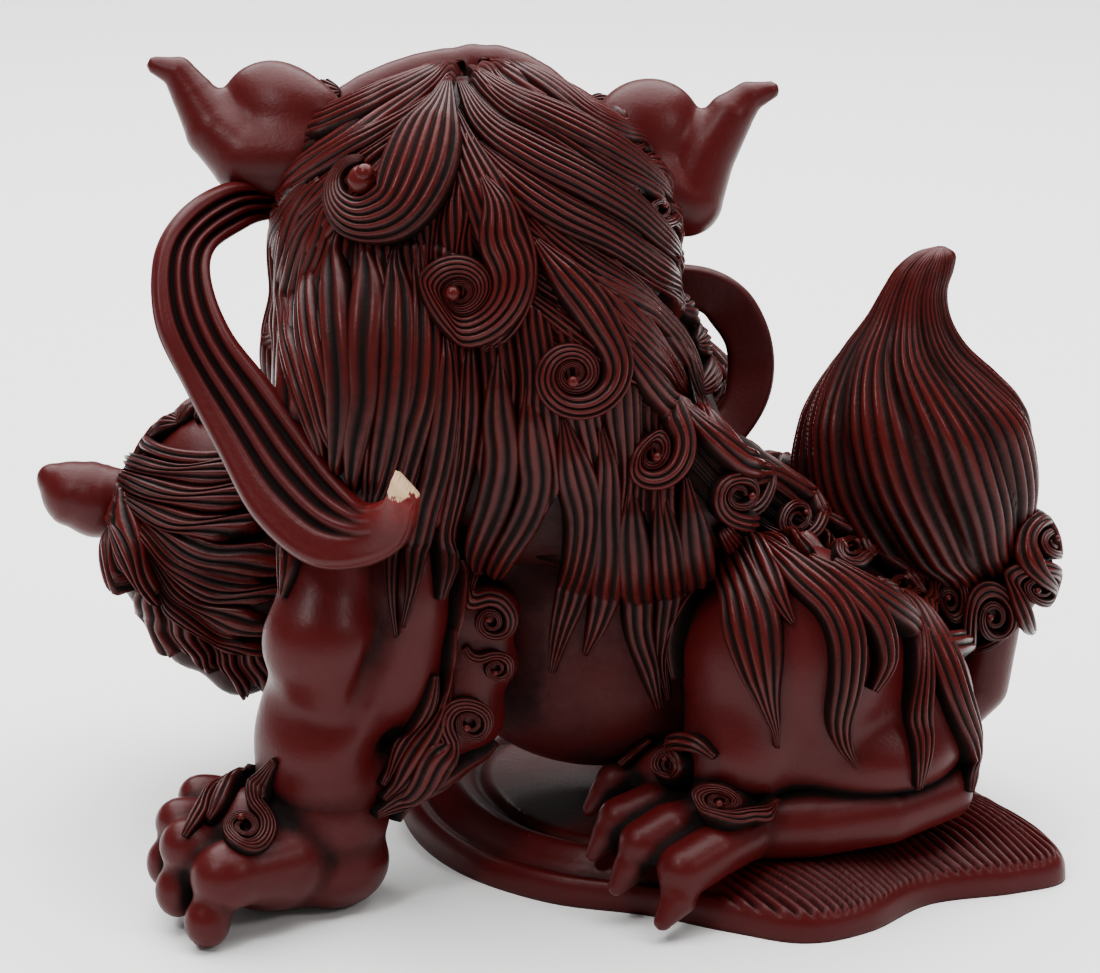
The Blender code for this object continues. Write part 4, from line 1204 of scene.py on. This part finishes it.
# Each piece: its name, the casting it lies on, its locks, and the plane it is mirrored in, if any
CURLS = [
    ("front_leg_left", "front_leg_left", LEG_CURLS, None),
    ("front_paw_left", "front_paw_left", PAW_CURLS, None),
    ("hind_foot_left", "hind_foot_left", FOOT_CURLS, None),
    ("hind_foot_right", "hind_foot_right", FOOT_CURLS, 0.0),
    ("tail_collar", "tail_collar", COLLAR_CURLS, None),
    ("tail_collar_far", "tail_collar", COLLAR_CURLS, TAIL_Y),
]
for name, node, locks, mirror in CURLS:
    add_hair(name + "_curls", drawn_locks(WHOLE, locks, mirror), node)


# ---------------------------------------------------------------- the cub's hair and ears

CUB_SHEETS = [
    (14, [[(-115, 105), (-116, 95), (-110, 85)], [(-107, 97), (-105, 88), (-99, 78)],
          [(-98, 90), (-94, 82), (-89, 73)], [(-88, 85), (-85, 77), (-80, 68)],
          [(-78, 85), (-75, 76), (-71, 66)]]),
    (14, [[(-116, 125), (-105, 118), (-92, 114), (-78, 113), (-66, 115)],
          [(-113, 113), (-104, 103), (-93, 97), (-80, 95), (-66, 97)],
          [(-112, 106), (-106, 94), (-97, 86), (-86, 81), (-72, 83)]]),
    (9, [[(-124, 136), (-127, 122), (-126, 108), (-119, 98)],
          [(-119, 132), (-119, 118), (-117, 106), (-110, 96)],
          [(-114, 126), (-111, 113), (-108, 102), (-101, 93)]]),
    (12, [[(-122, 143), (-115, 137), (-103, 134), (-90, 135), (-76, 138)],
          [(-123, 138), (-115, 129), (-102, 125), (-88, 125), (-72, 128)],
          [(-123, 133), (-117, 122), (-105, 115), (-90, 112), (-72, 113)]]),
]
CUB_LOCKS = [
    (2, 1.2, [(-72, 139, 2), (-84, 137, 4), (-94, 135, 5), (-105, 136, 5), (-112, 140, 4.5),
              (-113, 146, 4), (-108, 148, 3), (-104, 146, 2)]),
    (2, 1.4, [(-114, 151, 2), (-120, 145, 4), (-124, 138, 4), (-125, 132, 2)]),
    (2, 1.2, [(-84, 148, 2), (-90, 152, 4), (-96, 150, 3), (-98, 146, 2)]),
]
CUB_LIFTS = (0.2, 1.8, 3.0, 4.0)     # each sheet lies over the one before
parts = []
for lift, (strands, paths) in zip(CUB_LIFTS, CUB_SHEETS):
    count = max(30, int(max(math.dist(path[0], path[-1]) for path in paths)))
    guides = np.stack([CUB.sight(smooth_path(path, count)) for path in paths])
    parts.append(combed_sheet(CUB, guides, strands, group=4, lift=lift))
add_hair("cub_mane_locks", parts + drawn_locks(CUB, CUB_LOCKS), "cub_mane")
for name, side in (("cub_ear_left", -1), ("cub_ear_right", 1)):
    root = CUB_HEAD + (side * 30, 0, 11)
    lobe = [(*root, 9), (*(root + (side * 9, 0, 0)), 11), (*(root + (side * 16, 0, 2)), 9)]
    point = [(*(root + (side * 16, 0, 3)), 8.5), (*(root + (side * 23, 1, 7)), 3.5)]
    ear = [("limb", lobe), ("limb", point)]
    add_resin(name + "_skin", skin(ear, 0.9, 5), name, body=CUB)


# ---------------------------------------------------------------- the faces and the hair round them

def ring_locks(body, centre, reach, depth, count, width, strands, lift, span, lean):
    """Locks set out round a face: each starts on a circle and runs out and back over the head.

    reach is the circle's radius at root and tip, depth how far forward of the centre they lie,
    span the part of the circle in degrees, and lean how far they turn round it.
    """
    parts = []
    down = np.linspace(0, 1, 40)
    starts = np.linspace(*np.radians(span), count, endpoint=span[1] - span[0] < 360)
    for start in starts:
        angle = start + lean * down ** 1.5 * np.sign(math.cos(start) + 0.01)
        out = reach[0] + (reach[1] - reach[0]) * down
        spots = np.stack([centre[0] + out * np.cos(angle),
                          centre[1] + depth[0] + (depth[1] - depth[0]) * down,
                          centre[2] + out * np.sin(angle)], 1)
        swell = width * np.sin(math.pi * np.clip(0.06 + 0.92 * down, 0, 1)) ** 0.6
        parts.append(lock_mesh(body, np.c_[body.press(spots, 8), swell], strands, lift))
    return parts


def faced_lock(strands, lift, rows, curl):
    """A lock drawn on the face's side, in (x, z, width), with its curl and the curl's knob."""
    flat = drawn_rows(rows, curl)
    spots = WHOLE.facing(flat[:, :2])
    return [lock_mesh(WHOLE, np.c_[spots, flat[:, 2]], strands, lift),
            knob(WHOLE, spots[-1], 0.1 * curl[1] + 0.3, lift + 2.2)]


def eye_mesh(centre, radius, around=64, rows=48):
    """A bulging eye: a ball whose radius dips in a ring round a raised pupil, facing forward."""
    angle = np.linspace(0, 2 * math.pi, around, endpoint=False)[None]
    polar = np.linspace(0.03, math.pi - 0.03, rows)[:, None]
    dip = np.exp(-((polar - 0.52) / 0.1) ** 2)
    size = radius * (1 - 0.09 * dip + 0.03 * np.exp(-(polar / 0.35) ** 2))
    points = np.stack([centre[0] + size * np.sin(polar) * np.cos(angle),
                       centre[1] + size * np.cos(polar) + 0 * angle,
                       centre[2] + size * np.sin(polar) * np.sin(angle)], -1)
    return swept(points, np.repeat(np.clip(1.1 * dip + 0.8 * (polar > 1.35), 0, 1), around, 1))


TONGUE_RESIN = resin_finish("tongue_resin", (0.16, 0.012, 0.012), (0.1, 0.009, 0.009),
                            (0.012, 0.004, 0.004), gloss=0.24)
TEETH_RESIN = resin_finish("teeth_resin", (0.24, 0.15, 0.09), (0.15, 0.08, 0.05),
                           (0.02, 0.008, 0.006), gloss=0.26)
FACE_X = -22
for side, x in (("left", FACE_X - 16), ("right", FACE_X + 16)):
    add_hair(f"eye_{side}_ball", [eye_mesh((x, 57, 187), 8.6)], "eye_" + side)
NOSE = [("ball", (FACE_X, 75, 173), (9, 9, 8))]
NOSE += [("ball", (FACE_X + 8 * s, 73, 170), (6, 7, 5.5)) for s in (-1, 1)]
NOSE += [("cut", [(FACE_X - 6, 86, 167, 2.4), (FACE_X - 7, 76, 169, 2.2)]),
         ("cut", [(FACE_X + 6, 86, 167, 2.4), (FACE_X + 7, 76, 169, 2.2)])]
add_resin("nose_skin", skin(NOSE, 0.7, 2.5), "nose")
TONGUE = [("limb", [(FACE_X, 46, 150, 8.5), (FACE_X, 60, 150, 8.5), (FACE_X, 70, 147, 6.5)]),
          ("cut", [(FACE_X, 44, 161, 2.2), (FACE_X, 62, 160.5, 2.2), (FACE_X, 72, 156, 1.6)])]
mesh = skin(TONGUE, 0.8, 2)
# The tongue gets the wash in its hollows and painted shade where the jaws hide it
add_piece("tongue_skin", mesh, TONGUE_RESIN, "tongue_resin", "tongue", crevice(mesh[0], WHOLE))
TEETH_ANGLES = np.radians(np.linspace(200, 340, 11))
for row, level, way in (("upper", 161, -1), ("lower", 145, 1)):
    arc = [(FACE_X - 20 * math.cos(a), 52 - 19 * math.sin(a)) for a in TEETH_ANGLES]
    teeth = [("ball", (x, y, level), (2.7, 2.4, 3.6)) for x, y in arc]
    teeth += [("limb", [(FACE_X + 14 * s, 67, level, 3.4),
                        (FACE_X + 14.5 * s, 69, level + 8 * way, 1.4)]) for s in (-1, 1)]
    teeth += [("limb", [(x, y, level - way, 2.4) for x, y in arc])]
    mesh = skin(teeth, 0.6, 1)
    # The teeth get the wash in their hollows and painted shade where the jaws hide them
    add_piece(f"teeth_{row}_row", mesh, TEETH_RESIN, "teeth_resin", "teeth_" + row,
              crevice(mesh[0], WHOLE))

# The curls round the mouth on one side, as drawn_lock's, with x counted out from the face's middle
CHEEK_CURLS = [
    (4, 1.0, [(20, 170, 2), (30, 172, 6)], (36, 180), 9, 270, 20, 1.7),
    (4, 1.0, [(18, 152, 2), (28, 150, 6)], (35, 156), 9, 270, 10, 1.7),
    (4, 1.2, [(10, 136, 2), (18, 131, 6)], (24, 136), 8.5, 270, 0, 1.7),
    (3, 1.2, [(3, 131, 2), (6, 124, 5)], (10, 123), 6.5, 190, 0, 1.6),
]
parts = []
for side in (-1, 1):
    for strands, lift, rows, (out, z), radius, start, toward, turns in CHEEK_CURLS:
        rows = [(FACE_X + x * side, height, width) for x, height, width in rows]
        curl = ((FACE_X + out * side, z), radius, start + toward * side, side, turns)
        parts += faced_lock(strands, lift, rows, curl)
for span in ((-62, 20), (160, 242)):
    parts += ring_locks(WHOLE, LION_HEAD, (50, 62), (20, -22), 7, 17, 5, 1.0, span, 0.4)
    parts += ring_locks(WHOLE, LION_HEAD, (38, 56), (42, 4), 8, 15, 5, 2.0, span, 0.5)
# The chest hair under the cub's side of the face: paths in (y, z), root to tip
CHEST_PATHS = [
    [(-40, 150), (-41, 132), (-40, 114)], [(-24, 154), (-25, 132), (-23, 108)],
    [(-6, 156), (-6, 132), (-4, 104)], [(14, 154), (14, 130), (14, 104)],
    [(32, 150), (31, 128), (28, 108)],
]
guides = np.stack([WHOLE.iron(WHOLE.beside(smooth_path(path, 44))) for path in CHEST_PATHS])
add_hair("mane_face_locks", parts + [combed_sheet(WHOLE, guides, 28, lift=1.2)], "mane_crown")
CUB_FACE = CUB_HEAD + (0, 0, 2)
parts = ring_locks(CUB, CUB_FACE, (27, 34), (14, -1), 16, 12, 4, 0.6, (0, 360), 0.4)
parts += ring_locks(CUB, CUB_FACE, (24, 31), (20, 6), 16, 10, 4, 1.4, (10, 370), 0.6)
add_hair("cub_face_locks", parts, "cub_mane")


# ---------------------------------------------------------------- the bonding pins

def pin_finish():
    """Drawn steel, mottled with a little tarnish."""
    mat = bpy.data.materials.new("pin_steel")
    mat.use_nodes = True
    nodes, links = mat.node_tree.nodes, mat.node_tree.links
    shader = nodes["Principled BSDF"]
    shader.inputs["Metallic"].default_value = 1.0
    place = nodes.new("ShaderNodeTexCoord")
    tarnish = nodes.new("ShaderNodeTexNoise")
    tarnish.inputs["Scale"].default_value = 300
    links.new(place.outputs["Object"], tarnish.inputs["Vector"])
    tint = nodes.new("ShaderNodeValToRGB")
    tint.color_ramp.elements[0].color = (0.28, 0.27, 0.26, 1)
    tint.color_ramp.elements[1].color = (0.6, 0.6, 0.6, 1)
    links.new(tarnish.outputs["Fac"], tint.inputs["Fac"])
    links.new(tint.outputs["Color"], shader.inputs["Base Color"])
    shader.inputs["Roughness"].default_value = 0.35
    return mat


PIN_STEEL = pin_finish()
for name in ("ear_dowel_left", "ear_dowel_right", "tail_dowel", "cub_neck_dowel"):
    pin = bpy.data.objects[name]
    pin.data.materials.clear()
    pin.data.materials.append(PIN_STEEL)


# ---------------------------------------------------------------- floor, light and camera

LAMP_TARGET = np.array([0.0, 0.0, 0.11])


def plain_stage():
    """A pale table top, and three soft lights round the figure."""
    bpy.ops.mesh.primitive_plane_add(size=6.0)
    floor = bpy.context.object
    floor.name = "table_top"
    mat = bpy.data.materials.new("pale_table")
    mat.use_nodes = True
    mat.node_tree.nodes["Principled BSDF"].inputs["Base Color"].default_value = (0.9, 0.9, 0.89, 1)
    mat.node_tree.nodes["Principled BSDF"].inputs["Roughness"].default_value = 0.7
    floor.data.materials.append(mat)
    world = bpy.data.worlds.new("studio")
    world.use_nodes = True
    world.node_tree.nodes["Background"].inputs["Color"].default_value = (0.93, 0.93, 0.93, 1)
    world.node_tree.nodes["Background"].inputs["Strength"].default_value = 0.26
    bpy.context.scene.world = world
    for name, place, size, power in (("ceiling", (0.0, 0.5, 1.7), 2.6, 165.0),
                                     ("key", (-0.5, -0.6, 0.9), 0.16, 4.5),
                                     ("side", (0.8, -0.5, 0.7), 0.16, 2.5)):
        lamp = bpy.data.lights.new(name, "AREA")
        lamp.size = size
        lamp.energy = power
        obj = bpy.data.objects.new(name, lamp)
        obj.location = place
        aim = LAMP_TARGET - place
        obj.rotation_euler = (math.acos(-aim[2] / np.linalg.norm(aim)), 0,
                              math.atan2(aim[1], aim[0]) - math.pi / 2)
        bpy.context.scene.collection.objects.link(obj)


def look_from_the_side():
    """The camera behind the near flank, a little above, aimed at the figure's middle."""
    lens = bpy.data.cameras.new("camera")
    lens.sensor_width = 36.0
    lens.lens = lens.sensor_width * EYE_DISTANCE / VIEW_WIDTH
    lens.clip_start = 0.05
    obj = bpy.data.objects.new("camera", lens)
    obj.location = EYE * MM
    obj.rotation_euler = (math.radians(90 - EYE_RISE), 0, 0)
    bpy.context.scene.collection.objects.link(obj)
    bpy.context.scene.camera = obj


plain_stage()
look_from_the_side()
